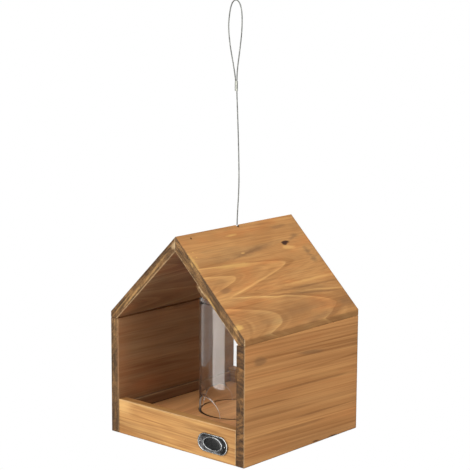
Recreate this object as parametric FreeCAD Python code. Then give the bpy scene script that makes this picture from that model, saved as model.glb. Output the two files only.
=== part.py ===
import FreeCAD, Part
import math
import os

# Silo bird feeder: a small open-ended wooden house on a tray, a clear seed tube that stands in a groove in the
# tray, and a steel cable through the ridge to hang it by.
# Frame: millimetres, +Z up, origin at the bottom centre of the house, front towards -Y, ridge along Y.

# House
body_width = 170.0
body_depth = 167.0
wall_thickness = 10.0
wall_height = 113.0
roof_pitch = 44.3          # degrees
roof_thickness = 10.0
plumb_cut = 6.0            # height of the roof's upright end above the wall's top
rail_height = 34.0
rail_thickness = 10.0
floor_thickness = 10.0
floor_lift = 10.5          # free height under the floor board
batten_height = 10.0       # strip along each wall's foot, on the floor board
batten_thickness = 4.0
edge_ease = 0.6            # rounding of the boards' sanded edges

# Seed tube
tube_diameter = 69.0
tube_wall = 1.5
tube_length = 112.5
tube_rim_round = 0.5
groove_depth = 3.5
groove_clearance = 0.5
outlet_count = 4
outlet_radius = 17.7       # of each arch, about a centre at the floor's face
outlet_turn = -13.7        # degrees, first outlet's turn from the front towards the right

# Blind dowels between the boards
dowel_diameter = 4.0
dowel_cover = 4.0          # wood left between a dowel's end and the wall's outer face
dowel_reach = 10.0         # depth in the second board
dowel_clearance = 0.05
dowel_end_gap = 0.3
roof_dowel_cover = 1.0     # how far the roof dowels stop short of the plumb cut's height
roof_dowel_y = 50.0
floor_dowel_y = 45.0
rail_dowel_edge = 9.0      # from the rail's long edges

# Brads across the ridge mitre
brad_diameter = 1.4
brad_length = 25.0
brad_point = 2.0
brad_head_diameter = 2.0
brad_head_height = 0.8
brad_sink = 0.4            # depth of the head under the roof's face
brad_y = 66.0
brad_clearance = 0.05

# Badge on the front rail, bare
badge_width = 36.4
badge_height = 17.6
badge_base = 1.0
badge_relief = 0.6         # height of the rim and of the oval ring over the base
badge_rim = 1.5
oval_width = 24.0
oval_height = 13.6
oval_ring = 1.0
inlay_thickness = 0.35
inlay_clearance = 0.05
badge_from_wall = 27.4     # badge centre to the right wall's inner face
badge_rise = 15.5          # badge centre above the bottom
pin_inset = 2.9            # pin axis from the badge's end
pin_diameter = 1.2
pin_head_diameter = 2.2
pin_head_height = 0.7
pin_reach = 5.0            # depth in the rail
pin_clearance = 0.05

# Hanging cable
cable_diameter = 1.2
ridge_hole = 4.0
hanger_y = 2.0             # the hole lies this far behind mid-depth
pivot_drop = 0.1           # the cable bends this far under the ridge line
pivot_gap = 0.8            # between the cable in the hole and the cable above it
washer_diameter = 10.0
washer_thickness = 1.0
washer_bore_clearance = 0.2
washer_seat_gap = 0.1
stop_diameter = 4.0
stop_length = 8.0
crimp_clearance = 0.05
ferrule_width = 3.6
ferrule_depth = 2.2
ferrule_length = 9.5
ferrule_round = 0.4
strand_spacing = 1.22      # between the two strands in the ferrule

# The cable's route above the ridge, as (right, up) from the bend at the ridge.
# It bows a little to the right and runs into the ferrule's right-hand bore.
free_route = [
    (0.0, 0.0), (0.5, 13.0), (2.2, 36.0), (1.95, 60.0), (1.0, 84.0), (-0.15, 108.0), (-1.2, 127.2),
]
# The loop's route, as (right, up) from the top of the ferrule's right-hand bore, round to the left-hand one.
loop_route = [
    (0.0, 0.0), (0.4, 10.5), (3.8, 30.5), (6.1, 47.5), (6.1, 63.0), (4.2, 70.4), (0.9, 74.9),
    (-4.2, 74.8), (-7.5, 70.2), (-9.5, 62.5), (-11.0, 49.5), (-8.7, 32.5), (-4.4, 15.0), (-strand_spacing, 0.0),
]

# Places that follow from the sizes above
half_width = body_width / 2
half_depth = body_depth / 2
inner_half_width = half_width - wall_thickness
inner_half_depth = half_depth - rail_thickness
pitch = math.radians(roof_pitch)
eave_z = wall_height + plumb_cut
ridge_z = eave_z + half_width * math.tan(pitch)
inner_ridge_z = ridge_z - roof_thickness / math.cos(pitch)
seat_x = (inner_ridge_z - wall_height) / math.tan(pitch)
floor_top = floor_lift + floor_thickness
tube_radius = tube_diameter / 2
tube_bottom = floor_top - groove_depth
pivot_z = ridge_z - pivot_drop
badge_x = inner_half_width - badge_from_wall
badge_front = -half_depth - badge_base - badge_relief
cut_margin = 1.0           # how far cutting tools run past what they cut

X = FreeCAD.Vector(1, 0, 0)
Y = FreeCAD.Vector(0, 1, 0)
Z = FreeCAD.Vector(0, 0, 1)


def vec(x, y, z):
    return FreeCAD.Vector(x, y, z)


def block(low, high):
    """A box between two corners."""
    size = [b - a for a, b in zip(low, high)]
    return Part.makeBox(*size, vec(*low))


def rod(start, direction, radius, length):
    return Part.makeCylinder(radius, length, start, direction)


def mirrored(shape):
    """The same piece on the other side of the ridge."""
    return shape.mirror(vec(0, 0, 0), X)


def group(solids):
    return Part.makeCompound(solids)


def eased(board, keep_sharp=None):
    """The board with its sanded edges rounded, apart from those that lie where keep_sharp says."""
    edges = [e for e in board.Edges if keep_sharp is None or not keep_sharp(e)]
    return board.makeFillet(edge_ease, edges)


# Dowels, each as (start, direction, length); their holes come from the same list

def roof_dowel_axes():
    x = (seat_x + half_width) / 2
    start_z = wall_height - dowel_reach
    length = dowel_reach + plumb_cut - roof_dowel_cover
    return [(vec(x, y, start_z), Z, length) for y in (-roof_dowel_y, roof_dowel_y)]


def floor_dowel_axes():
    x = inner_half_width - dowel_reach
    z = floor_top - floor_thickness / 2
    length = dowel_reach + wall_thickness - dowel_cover
    return [(vec(x, y, z), X, length) for y in (-floor_dowel_y, floor_dowel_y)]


def rail_dowel_axes(side):
    """The two dowels at the right end of a rail; side is -1 for the front rail and 1 for the rear one."""
    x = inner_half_width - dowel_reach
    y = side * (half_depth - rail_thickness / 2)
    length = dowel_reach + wall_thickness - dowel_cover
    return [(vec(x, y, z), X, length) for z in (rail_dowel_edge, rail_height - rail_dowel_edge)]


def dowels(axes):
    return [rod(start, direction, dowel_diameter / 2, length) for start, direction, length in axes]


def dowel_holes(axes):
    radius = dowel_diameter / 2 + dowel_clearance
    return [
        rod(start - direction * dowel_end_gap, direction, radius, length + 2 * dowel_end_gap)
        for start, direction, length in axes
    ]


def all_rail_dowel_axes():
    return rail_dowel_axes(-1) + rail_dowel_axes(1)


# Brads, driven square to the right roof panel, through the mitre and into the left panel

def brad_seat(y):
    """The point on the right panel's face where a brad goes in, and its direction."""
    down_slope = roof_thickness / 2
    point = vec(down_slope * math.cos(pitch), y, ridge_z - down_slope * math.sin(pitch))
    return point, vec(-math.sin(pitch), 0, -math.cos(pitch))


def brad(y):
    point, inward = brad_seat(y)
    top = point + inward * brad_sink
    neck = top + inward * brad_head_height
    shank_length = brad_length - brad_head_height - brad_point
    tip = neck + inward * shank_length
    head = rod(top, inward, brad_head_diameter / 2, brad_head_height)
    shank = rod(neck, inward, brad_diameter / 2, shank_length)
    point_cone = Part.makeCone(brad_diameter / 2, brad_diameter / 8, brad_point, tip, inward)
    return head.fuse([shank, point_cone]).removeSplitter()


def brad_hole(y):
    point, inward = brad_seat(y)
    head_radius = brad_head_diameter / 2 + brad_clearance
    head = rod(point - inward * cut_margin, inward, head_radius, cut_margin + brad_sink + brad_head_height)
    shank = rod(point, inward, brad_diameter / 2 + brad_clearance, brad_sink + brad_length + brad_clearance)
    return head.fuse(shank)


# House boards

def right_wall():
    board = eased(block((inner_half_width, -half_depth, 0), (half_width, half_depth, wall_height)))
    axes = roof_dowel_axes() + floor_dowel_axes() + all_rail_dowel_axes()
    return board.cut(dowel_holes(axes))


def roof_outline():
    """The right roof panel's section: mitre, slope, plumb cut, level seat on the wall, underside."""
    corners = [
        (0, ridge_z), (half_width, eave_z), (half_width, wall_height), (seat_x, wall_height), (0, inner_ridge_z),
    ]
    points = [vec(x, -half_depth, z) for x, z in corners]
    return Part.Face(Part.makePolygon(points + points[:1]))


def on_mitre(edge):
    return all(abs(v.X) < edge_ease / 10 for v in edge.Vertexes)


def right_roof_panel():
    board = eased(roof_outline().extrude(Y * body_depth), on_mitre)
    hole = rod(vec(0, hanger_y, 0), Z, ridge_hole / 2, ridge_z + cut_margin)
    return board.cut([hole] + dowel_holes(roof_dowel_axes()))


def roof_panels():
    brad_holes = [brad_hole(y) for y in (-brad_y, brad_y)]
    plain = right_roof_panel()
    return mirrored(plain).cut(brad_holes), plain.cut(brad_holes)


def floor_board():
    board = eased(block(
        (-inner_half_width, -inner_half_depth, floor_lift), (inner_half_width, inner_half_depth, floor_top)))
    outer = tube_radius + groove_clearance
    inner = tube_radius - tube_wall - groove_clearance
    ring_height = groove_depth + cut_margin
    base = vec(0, 0, tube_bottom)
    groove = rod(base, Z, outer, ring_height).cut(rod(base, Z, inner, ring_height))
    holes = dowel_holes(floor_dowel_axes())
    return board.cut([groove] + holes + [mirrored(h) for h in holes])


def right_batten():
    low = (inner_half_width - batten_thickness, -inner_half_depth, floor_top)
    high = (inner_half_width, inner_half_depth, floor_top + batten_height)
    return eased(block(low, high))


def rail(side):
    """A rail between the walls; side is -1 at the front and 1 at the rear."""
    near, far = sorted((side * inner_half_depth, side * half_depth))
    board = eased(block((-inner_half_width, near, 0), (inner_half_width, far, rail_height)))
    holes = dowel_holes(rail_dowel_axes(side))
    return board.cut(holes + [mirrored(h) for h in holes])


def front_rail():
    return rail(-1).cut([pin_hole(x) for x in pin_places()])


# Seed tube

def silo_tube():
    base = vec(0, 0, tube_bottom)
    tube = rod(base, Z, tube_radius, tube_length)
    tube = tube.cut(rod(base, Z, tube_radius - tube_wall, tube_length))
    top = tube_bottom + tube_length
    rim = [e for e in tube.Edges if all(abs(v.Z - top) < tube_rim_round / 10 for v in e.Vertexes)]
    tube = tube.makeFillet(tube_rim_round, rim)
    return tube.cut([outlet(k * 360 / outlet_count) for k in range(outlet_count)])


def outlet(turn):
    """The cutter of one arch: a round head on straight sides that run down past the tube's foot."""
    reach = tube_radius + cut_margin
    head = rod(vec(0, 0, floor_top), -Y, outlet_radius, reach)
    sides = block((-outlet_radius, -reach, tube_bottom - cut_margin), (outlet_radius, 0, floor_top))
    arch = head.fuse(sides)
    arch.rotate(vec(0, 0, 0), Z, outlet_turn + turn)
    return arch


# Badge

def oblong(width, height, y, thickness):
    """A plate with half-round ends, centred on the badge's place, from y forwards."""
    radius = height / 2
    straight = width / 2 - radius
    low, high = badge_rise - radius, badge_rise + radius
    corners = [
        vec(badge_x - straight, y, low), vec(badge_x + straight, y, low),
        vec(badge_x + straight, y, high), vec(badge_x - straight, y, high),
    ]
    ends = [vec(badge_x + width / 2, y, badge_rise), vec(badge_x - width / 2, y, badge_rise)]
    edges = [
        Part.LineSegment(corners[0], corners[1]).toShape(),
        Part.Arc(corners[1], ends[0], corners[2]).toShape(),
        Part.LineSegment(corners[2], corners[3]).toShape(),
        Part.Arc(corners[3], ends[1], corners[0]).toShape(),
    ]
    return Part.Face(Part.Wire(edges)).extrude(-Y * thickness)


def oval(width, height, y, thickness):
    """An elliptical disc, centred on the badge's place, from y forwards."""
    curve = Part.Ellipse(vec(0, 0, 0), width / 2, height / 2)
    face = Part.Face(Part.Wire([curve.toShape()]))
    face.rotate(vec(0, 0, 0), X, 90)
    face.translate(vec(badge_x, y, badge_rise))
    return face.extrude(-Y * thickness)


def pin_places():
    offset = badge_width / 2 - pin_inset
    return (badge_x - offset, badge_x + offset)


def pin_hole(x):
    start = vec(x, badge_front - cut_margin, badge_rise)
    length = -half_depth - start.y + pin_reach + pin_clearance
    return rod(start, Y, pin_diameter / 2 + pin_clearance, length)


def badge_plate():
    face = -half_depth
    step = face - badge_base
    plate = oblong(badge_width, badge_height, face, badge_base)
    rim = oblong(badge_width, badge_height, step, badge_relief)
    rim = rim.cut(oblong(badge_width - 2 * badge_rim, badge_height - 2 * badge_rim, step, badge_relief))
    ring = oval(oval_width, oval_height, step, badge_relief)
    ring = ring.cut(oval(oval_width - 2 * oval_ring, oval_height - 2 * oval_ring, step, badge_relief))
    return plate.fuse([rim, ring]).removeSplitter().cut([pin_hole(x) for x in pin_places()])


def badge_inlay():
    trim = 2 * (oval_ring + inlay_clearance)
    return oval(oval_width - trim, oval_height - trim, -half_depth - badge_base, inlay_thickness)


def badge_pins():
    face = -half_depth - badge_base
    pins = []
    for x in pin_places():
        shank = rod(vec(x, face, badge_rise), Y, pin_diameter / 2, badge_base + pin_reach)
        head = Part.makeCone(
            pin_head_diameter / 2, pin_diameter / 2, pin_head_height, vec(x, face, badge_rise), -Y)
        pins.append(shank.fuse(head).removeSplitter())
    return group(pins)


# Hanging cable

def at_hanger(right, up):
    """A point in the cable's upright plane, from the bend at the ridge."""
    return vec(right, hanger_y, pivot_z + up)


def corner_arc(before, corner, after):
    """The arc round one corner of a route, as large as its runs allow, and its radius."""
    into, out = corner - before, after - corner
    tangent = 0.45 * min(into.Length, out.Length)
    half_turn = into.getAngle(out) / 2
    radius = tangent / math.tan(half_turn)
    start = corner - into.normalize() * tangent
    end = corner + out.normalize() * tangent
    to_middle = ((start + end) * 0.5 - corner).normalize()
    middle = corner + to_middle * (radius / math.cos(half_turn) - radius)
    return Part.Arc(start, middle, end), radius


def cable_along(points, label):
    """A round cable along straight runs joined by tangent arcs."""
    edges, radii, last = [], [], points[0]
    for before, corner, after in zip(points, points[1:], points[2:]):
        arc, radius = corner_arc(before, corner, after)
        edges += [Part.LineSegment(last, arc.StartPoint).toShape(), arc.toShape()]
        radii.append(radius)
        last = arc.EndPoint
    edges.append(Part.LineSegment(last, points[-1]).toShape())
    path = Part.Wire(edges)
    section = Part.Wire([Part.Circle(points[0], points[1] - points[0], cable_diameter / 2).toShape()])
    cable = path.makePipeShell([section], True, False)
    expected = math.pi * cable_diameter ** 2 / 4 * path.Length
    print(f"{label}: {path.Length:.1f} mm, radii {[round(r, 1) for r in radii]} mm,"
          f" volume {cable.Volume / expected:.4f} of section times length")
    return cable


def level_cut(cable, z, above):
    """The cable trimmed level at z, so that it meets the ferrule's flat end face to face."""
    reach = body_width
    low, high = (z, z + reach) if above else (z - reach, z)
    return cable.common(block((-reach, hanger_y - reach, low), (reach, hanger_y + reach, high)))


def run_on(points):
    """A route with its end runs lengthened a little, for the level cut."""
    first = points[0] + (points[0] - points[1]).normalize() * cable_diameter
    last = points[-1] + (points[-1] - points[-2]).normalize() * cable_diameter
    return [first] + points[1:-1] + [last]


def ferrule_base():
    """The middle of the ferrule's lower face."""
    right, up = free_route[-1]
    return at_hanger(right - strand_spacing / 2, up)


def hanger_cable():
    points = [at_hanger(right, up) for right, up in free_route]
    lengthened = [points[0]] + run_on(points)[1:]
    return level_cut(cable_along(lengthened, "hanger_cable"), ferrule_base().z, above=False)


def hanger_loop():
    right_bore = free_route[-1][0]
    top = free_route[-1][1] + ferrule_length
    points = [at_hanger(right_bore + right, top + up) for right, up in loop_route]
    return level_cut(cable_along(run_on(points), "hanger_loop"), pivot_z + top, above=True)


def hanger_ferrule():
    """A crimped sleeve of oval section, with its two end edges rounded."""
    base = ferrule_base()
    curve = Part.Ellipse(vec(0, 0, 0), ferrule_width / 2, ferrule_depth / 2)
    face = Part.Face(Part.Wire([curve.toShape()]))
    face.translate(base)
    sleeve = face.extrude(Z * ferrule_length)
    ends = [e for e in sleeve.Edges if abs(e.BoundBox.ZLength) < ferrule_round / 10]
    return sleeve.makeChamfer(ferrule_round, ends)


def washer_top():
    """Where the washer's rim meets the two slopes under the ridge."""
    return inner_ridge_z - washer_diameter / 2 * math.tan(pitch) - washer_seat_gap


def hanger_washer():
    base = vec(0, hanger_y, washer_top() - washer_thickness)
    disc = rod(base, Z, washer_diameter / 2, washer_thickness)
    return disc.cut(rod(base, Z, cable_diameter / 2 + washer_bore_clearance, washer_thickness))


def stop_base():
    return vec(0, hanger_y, washer_top() - washer_thickness - stop_length)


def hanger_stop():
    sleeve = rod(stop_base(), Z, stop_diameter / 2, stop_length)
    return sleeve.cut(rod(stop_base(), Z, cable_diameter / 2 + crimp_clearance, stop_length))


def cable_root():
    """The end of the cable, from under the stop up into the ridge hole."""
    return rod(stop_base(), Z, cable_diameter / 2, pivot_z - pivot_gap - stop_base().z)


def build():
    left_roof, right_roof = roof_panels()
    wall = right_wall()
    batten = right_batten()
    nodes = {
        "left_wall": mirrored(wall),
        "right_wall": wall,
        "left_roof_panel": left_roof,
        "right_roof_panel": right_roof,
        "floor_board": floor_board(),
        "left_batten": mirrored(batten),
        "right_batten": batten,
        "front_rail": front_rail(),
        "rear_rail": rail(1),
        "silo_tube": silo_tube(),
        "badge_plate": badge_plate(),
        "badge_inlay": badge_inlay(),
        "badge_pins": badge_pins(),
        "ridge_brads": group([brad(y) for y in (-brad_y, brad_y)]),
        "hanger_cable": hanger_cable(),
        "hanger_loop": hanger_loop(),
        "hanger_ferrule": hanger_ferrule(),
        "cable_root": cable_root(),
        "hanger_washer": hanger_washer(),
        "hanger_stop": hanger_stop(),
    }
    joints = {"roof": roof_dowel_axes(), "floor": floor_dowel_axes(), "rail": all_rail_dowel_axes()}
    for place, axes in joints.items():
        right = dowels(axes)
        nodes[f"right_{place}_dowels"] = group(right)
        nodes[f"left_{place}_dowels"] = group([mirrored(d) for d in right])
    return nodes


os.makedirs("parts", exist_ok=True)
for name, shape in build().items():
    shape.exportStep(f"parts/{name}.step")
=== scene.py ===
"""Looks of the silo bird feeder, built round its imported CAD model.

Everything is in metres in the model's frame: origin at the bottom centre of the house, +Z up, front towards
-Y, ridge along Y. Wood grain is described in millimetres of each board's own space.
"""

import logging
import math
from collections.abc import Callable, Iterator, Sequence
from contextlib import contextmanager
from dataclasses import dataclass, field
from enum import Enum
from itertools import combinations
from typing import Any

import bmesh
import bpy
from mathutils import Matrix, Vector


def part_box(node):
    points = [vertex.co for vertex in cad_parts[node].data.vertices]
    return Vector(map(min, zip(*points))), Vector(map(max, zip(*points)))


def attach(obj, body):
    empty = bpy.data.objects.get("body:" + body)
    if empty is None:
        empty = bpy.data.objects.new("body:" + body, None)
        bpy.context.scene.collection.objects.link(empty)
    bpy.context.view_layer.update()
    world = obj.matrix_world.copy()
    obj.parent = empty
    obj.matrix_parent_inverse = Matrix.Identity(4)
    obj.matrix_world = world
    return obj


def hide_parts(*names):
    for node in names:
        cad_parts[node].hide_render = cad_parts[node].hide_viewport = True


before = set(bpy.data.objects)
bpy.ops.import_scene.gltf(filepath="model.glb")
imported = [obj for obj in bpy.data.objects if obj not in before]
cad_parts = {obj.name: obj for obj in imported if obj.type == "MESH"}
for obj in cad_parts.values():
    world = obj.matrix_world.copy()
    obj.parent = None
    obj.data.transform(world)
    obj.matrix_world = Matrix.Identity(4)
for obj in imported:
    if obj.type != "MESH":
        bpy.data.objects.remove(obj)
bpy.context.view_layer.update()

LOG = logging.getLogger("feeder")
MM = 0.001
PER_MM = 1000.0
NEAR = 0.01 * MM
WELD = 0.001 * MM
REFRACTION = 1.48

Colour = tuple[float, float, float]
Triple = tuple[float, float, float]
Socket = bpy.types.NodeSocket

RIGHT: Triple = (1.0, 0.0, 0.0)
BACK: Triple = (0.0, 1.0, 0.0)
UP: Triple = (0.0, 0.0, 1.0)
FACING_FRONT: Triple = (math.pi / 2, 0.0, 0.0)


def srgb(red: int, green: int, blue: int) -> Colour:
    """A colour read on a screen, as linear values.

    Args:
        red, green, blue: Screen values from 0 to 255.

    Returns:
        The linear colour.
    """
    shares = (value / 255 for value in (red, green, blue))
    return tuple(s / 12.92 if s <= 0.04045 else ((s + 0.055) / 1.055) ** 2.4 for s in shares)


def direction(azimuth: float, elevation: float) -> Vector:
    """The way from the feeder to a viewpoint.

    Args:
        azimuth: Degrees from the front towards the right.
        elevation: Degrees up from level.

    Returns:
        A unit vector.
    """
    turn, tilt = math.radians(azimuth), math.radians(elevation)
    return Vector((math.sin(turn) * math.cos(tilt), -math.cos(turn) * math.cos(tilt), math.sin(tilt)))


class Slot(Enum):
    """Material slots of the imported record."""

    WOOD = "stained_pine"
    GLASS = "clear_glass"
    PLATE = "bright_plate"
    ENAMEL = "dark_enamel"
    STEEL = "steel"
    CRIMP = "crimp_metal"


class Body(Enum):
    """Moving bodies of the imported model."""

    HOUSE = "house"
    SILO = "silo"
    HANGER = "hanger"


class Side(Enum):
    """Left and right as seen from the front, as the sign of X."""

    LEFT = -1
    RIGHT = 1


class End(Enum):
    """Front and rear, as the sign of Y."""

    FRONT = -1
    REAR = 1


class Pick(Enum):
    """What a selection in edit mode is made of."""

    VERT = "VERT"
    EDGE = "EDGE"
    FACE = "FACE"


class EdgeLook(Enum):
    """How a board's edge has aged; the dark worn edges also carry painted shade."""

    PLAIN = "plain"
    # worn: dark edges, part wear and part painted shade where rounded arrises turn from the light and in gaps
    WORN = "worn"
    RUBBED = "rubbed"


class NodeSketch:
    """A material's node tree, with short calls for the nodes that the finishes share."""

    def __init__(self, name: str) -> None:
        """Start a material with a Principled shader on its output.

        Args:
            name: The material's name.
        """
        self.material = bpy.data.materials.new(name)
        self.material.use_nodes = True
        self.start(self.material.node_tree, "ShaderNodeOutputMaterial", "ShaderNodeBsdfPrincipled")

    def start(self, tree: bpy.types.NodeTree, output: str, shader: str) -> None:
        """Clear a node tree and put a shader on its output.

        Args:
            tree: The tree.
            output, shader: Blender's names of the two node types.
        """
        self.tree = tree
        tree.nodes.clear()
        end = self.node(output)
        self.shader = self.node(shader)
        tree.links.new(self.shader.outputs[0], end.inputs[0])

    def node(self, kind: str, **settings: Any) -> bpy.types.Node:
        """Add a node and set its options.

        Args:
            kind: Blender's name of the node type.
            **settings: Properties of the node.

        Returns:
            The new node.
        """
        made = self.tree.nodes.new(kind)
        for name, value in settings.items():
            setattr(made, name, value)
        return made

    def feed(self, socket: Socket, value: Any) -> None:
        """Link a socket to another one, or set its own value.

        Args:
            socket: The input.
            value: An output socket, a number, or a colour or vector.
        """
        if isinstance(value, bpy.types.NodeSocket):
            self.tree.links.new(value, socket)
        elif socket.type == "RGBA":
            socket.default_value = (*value, 1.0)
        else:
            socket.default_value = value

    def fill(self, node: bpy.types.Node, **values: Any) -> None:
        """Set or link inputs of a node, named with underscores for spaces."""
        for name, value in values.items():
            self.feed(node.inputs[name.replace("_", " ")], value)

    def math(self, operation: str, *values: Any) -> Socket:
        """Arithmetic on numbers.

        Args:
            operation: Name of the Math node's operation.
            *values: Its inputs.

        Returns:
            The result's socket.
        """
        made = self.node("ShaderNodeMath", operation=operation)
        for socket, value in zip(made.inputs, values):
            self.feed(socket, value)
        return made.outputs[0]

    def vector(self, operation: str, *values: Any) -> Socket:
        """Arithmetic on vectors; a number for LENGTH, DISTANCE and DOT_PRODUCT.

        Args:
            operation: Name of the Vector Math node's operation.
            *values: Its inputs.

        Returns:
            The result's socket.
        """
        made = self.node("ShaderNodeVectorMath", operation=operation)
        for socket, value in zip(made.inputs, values):
            self.feed(socket, value)
        is_number = operation in ("LENGTH", "DISTANCE", "DOT_PRODUCT")
        return made.outputs["Value" if is_number else "Vector"]

    def combine(self, x: Any, y: Any, z: Any) -> Socket:
        """A vector from three numbers.

        Args:
            x, y, z: Numbers or sockets.

        Returns:
            The vector's socket.
        """
        made = self.node("ShaderNodeCombineXYZ")
        for socket, value in zip(made.inputs, (x, y, z)):
            self.feed(socket, value)
        return made.outputs[0]

    def coordinates(self, output: str = "Object") -> Socket:
        """The piece's own coordinates or normal."""
        return self.node("ShaderNodeTexCoord").outputs[output]

    def noise(self, vector: Socket, scale: float = 1.0, detail: float = 2.0,
              roughness: float = 0.5) -> Socket:
        """Smooth noise around one half.

        Args:
            vector: Where it is read.
            scale: Features per unit of the vector.
            detail: Number of finer layers.
            roughness: Share of each finer layer.

        Returns:
            The noise's socket.
        """
        made = self.node("ShaderNodeTexNoise")
        self.fill(made, Vector=vector, Scale=scale, Detail=detail, Roughness=roughness)
        return made.outputs["Fac"]

    def ramp(self, factor: Socket, stops: Sequence[tuple[float, Colour]]) -> Socket:
        """A colour ramp.

        Args:
            factor: Where on the ramp.
            stops: Places and linear colours, in order.

        Returns:
            The colour's socket.
        """
        made = self.node("ShaderNodeValToRGB")
        elements = made.color_ramp.elements
        while len(elements) < len(stops):
            elements.new(0.5)
        for element, (place, colour) in zip(elements, stops):
            element.position = place
            element.color = (*colour, 1.0)
        self.feed(made.inputs[0], factor)
        return made.outputs[0]

    def levels(self, factor: Socket, stops: Sequence[tuple[float, float]]) -> Socket:
        """A ramp of plain numbers, given as places and values in order."""
        return self.ramp(factor, [(place, (value,) * 3) for place, value in stops])

    def remap(self, value: Any, low: float, high: float, to_low: float = 0.0, to_high: float = 1.0) -> Socket:
        """A value moved smoothly from one range to another, and kept inside it.

        Args:
            value: The number.
            low, high: Its range.
            to_low, to_high: The range it is moved to.

        Returns:
            The result's socket.
        """
        made = self.node("ShaderNodeMapRange", interpolation_type="SMOOTHSTEP")
        self.fill(made, Value=value, From_Min=low, From_Max=high, To_Min=to_low, To_Max=to_high)
        return made.outputs[0]

    def blend(self, share: Any, first: Any, second: Any, how: str = "MIX") -> Socket:
        """Two colours mixed.

        Args:
            share: Share of the second.
            first, second: Colours or sockets.
            how: Name of the Mix node's blend type.

        Returns:
            The colour's socket.
        """
        made = self.node("ShaderNodeMix", data_type="RGBA", blend_type=how)
        self.feed(made.inputs[0], share)
        self.feed(made.inputs[6], first)
        self.feed(made.inputs[7], second)
        return made.outputs[2]

    def tinted(self, colour: Any, tint: Any) -> Socket:
        """A colour multiplied by another."""
        return self.blend(1.0, colour, tint, "MULTIPLY")

    def relief(self, height: Socket, strength: float, depth: float) -> None:
        """Bump on the shader's normal.

        Args:
            height: The relief, from 0 to 1.
            strength: How much of it shows.
            depth: Its height in metres.
        """
        made = self.node("ShaderNodeBump")
        self.fill(made, Strength=strength, Distance=depth, Height=height)
        self.surface(Normal=made.outputs[0])

    def surface(self, **values: Any) -> None:
        """Set or link inputs of the shader, named with underscores for spaces."""
        self.fill(self.shader, **values)


class SurroundSketch(NodeSketch):
    """The world's node tree, with the same short calls."""

    def __init__(self, name: str) -> None:
        """Start a world with a Background shader on its output, and make it the scene's own.

        Args:
            name: The world's name.
        """
        world = bpy.data.worlds.new(name)
        bpy.context.scene.world = world
        world.use_nodes = True
        self.start(world.node_tree, "ShaderNodeOutputWorld", "ShaderNodeBackground")

    def split(self, vector: Socket) -> tuple[Socket, Socket, Socket]:
        """A vector's three numbers.

        Args:
            vector: The vector's socket.

        Returns:
            The numbers' sockets.
        """
        made = self.node("ShaderNodeSeparateXYZ")
        self.feed(made.inputs[0], vector)
        return tuple(made.outputs)


@dataclass(frozen=True)
class BoardSpace:
    """A board's own space: across the grain, through it from its show face, and along the grain."""

    origin: Triple
    across: Triple
    through: Triple
    along: Triple


@dataclass(frozen=True)
class Heart:
    """A growth centre that rings curve round.

    across and depth place it in the board's section, tip is where the ring at the show face closes along the
    board, drift is how far it wanders across for each millimetre back from the tip, reach how far back its
    ring still widens, and inner how many rings it lies inside the next heart's.
    """

    across: float
    depth: float
    tip: float = 0.0
    drift: float = 0.0
    reach: float = 250.0
    inner: float = 0.0


@dataclass(frozen=True)
class Mark:
    """A local stain, knot, streak, torn spot or painted pool of light: an ellipsoid in the board's space with
    a soft, ragged edge.

    lean is how far it moves across for each millimetre along, dip how far it goes in for each millimetre
    across, and push how far it bends the rings round it.
    """

    across: float
    along: float
    half_across: float
    half_along: float
    colour: Colour
    strength: float
    lean: float = 0.0
    depth: float = 0.0
    half_depth: float = 4.0
    dip: float = 0.0
    softness: float = 0.7
    ragged: float = 0.5
    push: float = 0.0


@dataclass(frozen=True)
class Fibre:
    """A layer of noise in the wood.

    across, or outwards from the hearts, and along are its features per millimetre, detail is its number of
    finer layers, and mark sets it apart from the board's other layers.
    """

    across: float
    along: float
    detail: float
    mark: float


@dataclass(frozen=True)
class Arris:
    """An edge of a board between two faces, each an outward normal and its distance from the origin."""

    first: tuple[Triple, float]
    second: tuple[Triple, float]
    look: EdgeLook


@dataclass(frozen=True)
class StainedPine:
    """Stained softwood: growth rings in three dimensions, streaks, blotches, marks, end grain, and worn edges
    darkened partly as painted shade.

    groove is the middle radius and half the width of a ring groove round the frame's upright axis, for its
    painted shade.
    """

    name: str
    space: BoardSpace
    hearts: tuple[Heart, ...]
    seed: float
    taper: float = 0.12
    thickness: float = 10.0
    ring_spacing: float = 9.0
    ring_contrast: float = 1.0
    far_contrast: float = 0.15
    streaks: float = 0.07
    threads: float = 0.12
    lines: float = 0.1
    clouds: float = 0.11
    wander: float = 1.2
    stretch: float = 1.0
    blotches: float = 0.8
    tint: Colour = (1.0, 1.0, 1.0)
    # painted shade: the inner tint darkens the board's faces inside the house
    inner_shade_tint: Colour = (1.0, 1.0, 1.0)
    end_tint: Colour = (1.0, 1.0, 1.0)
    end_lines: tuple[float, float] = (0.025, 0.6)
    end_heart: tuple[float, float] = (40.0, 60.0)
    end_rings: float = 0.15
    # wear sets the dark edges, which are part wear and part painted shade
    wear: float = 0.6
    rub: float = 0.6
    marks: tuple[Mark, ...] = ()
    groove: tuple[float, float] | None = None

    def material(self, arrises: Sequence[Arris]) -> bpy.types.Material:
        """The finish of a board with these edges."""
        return PineSketch(self).dressed(arrises)


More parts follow.
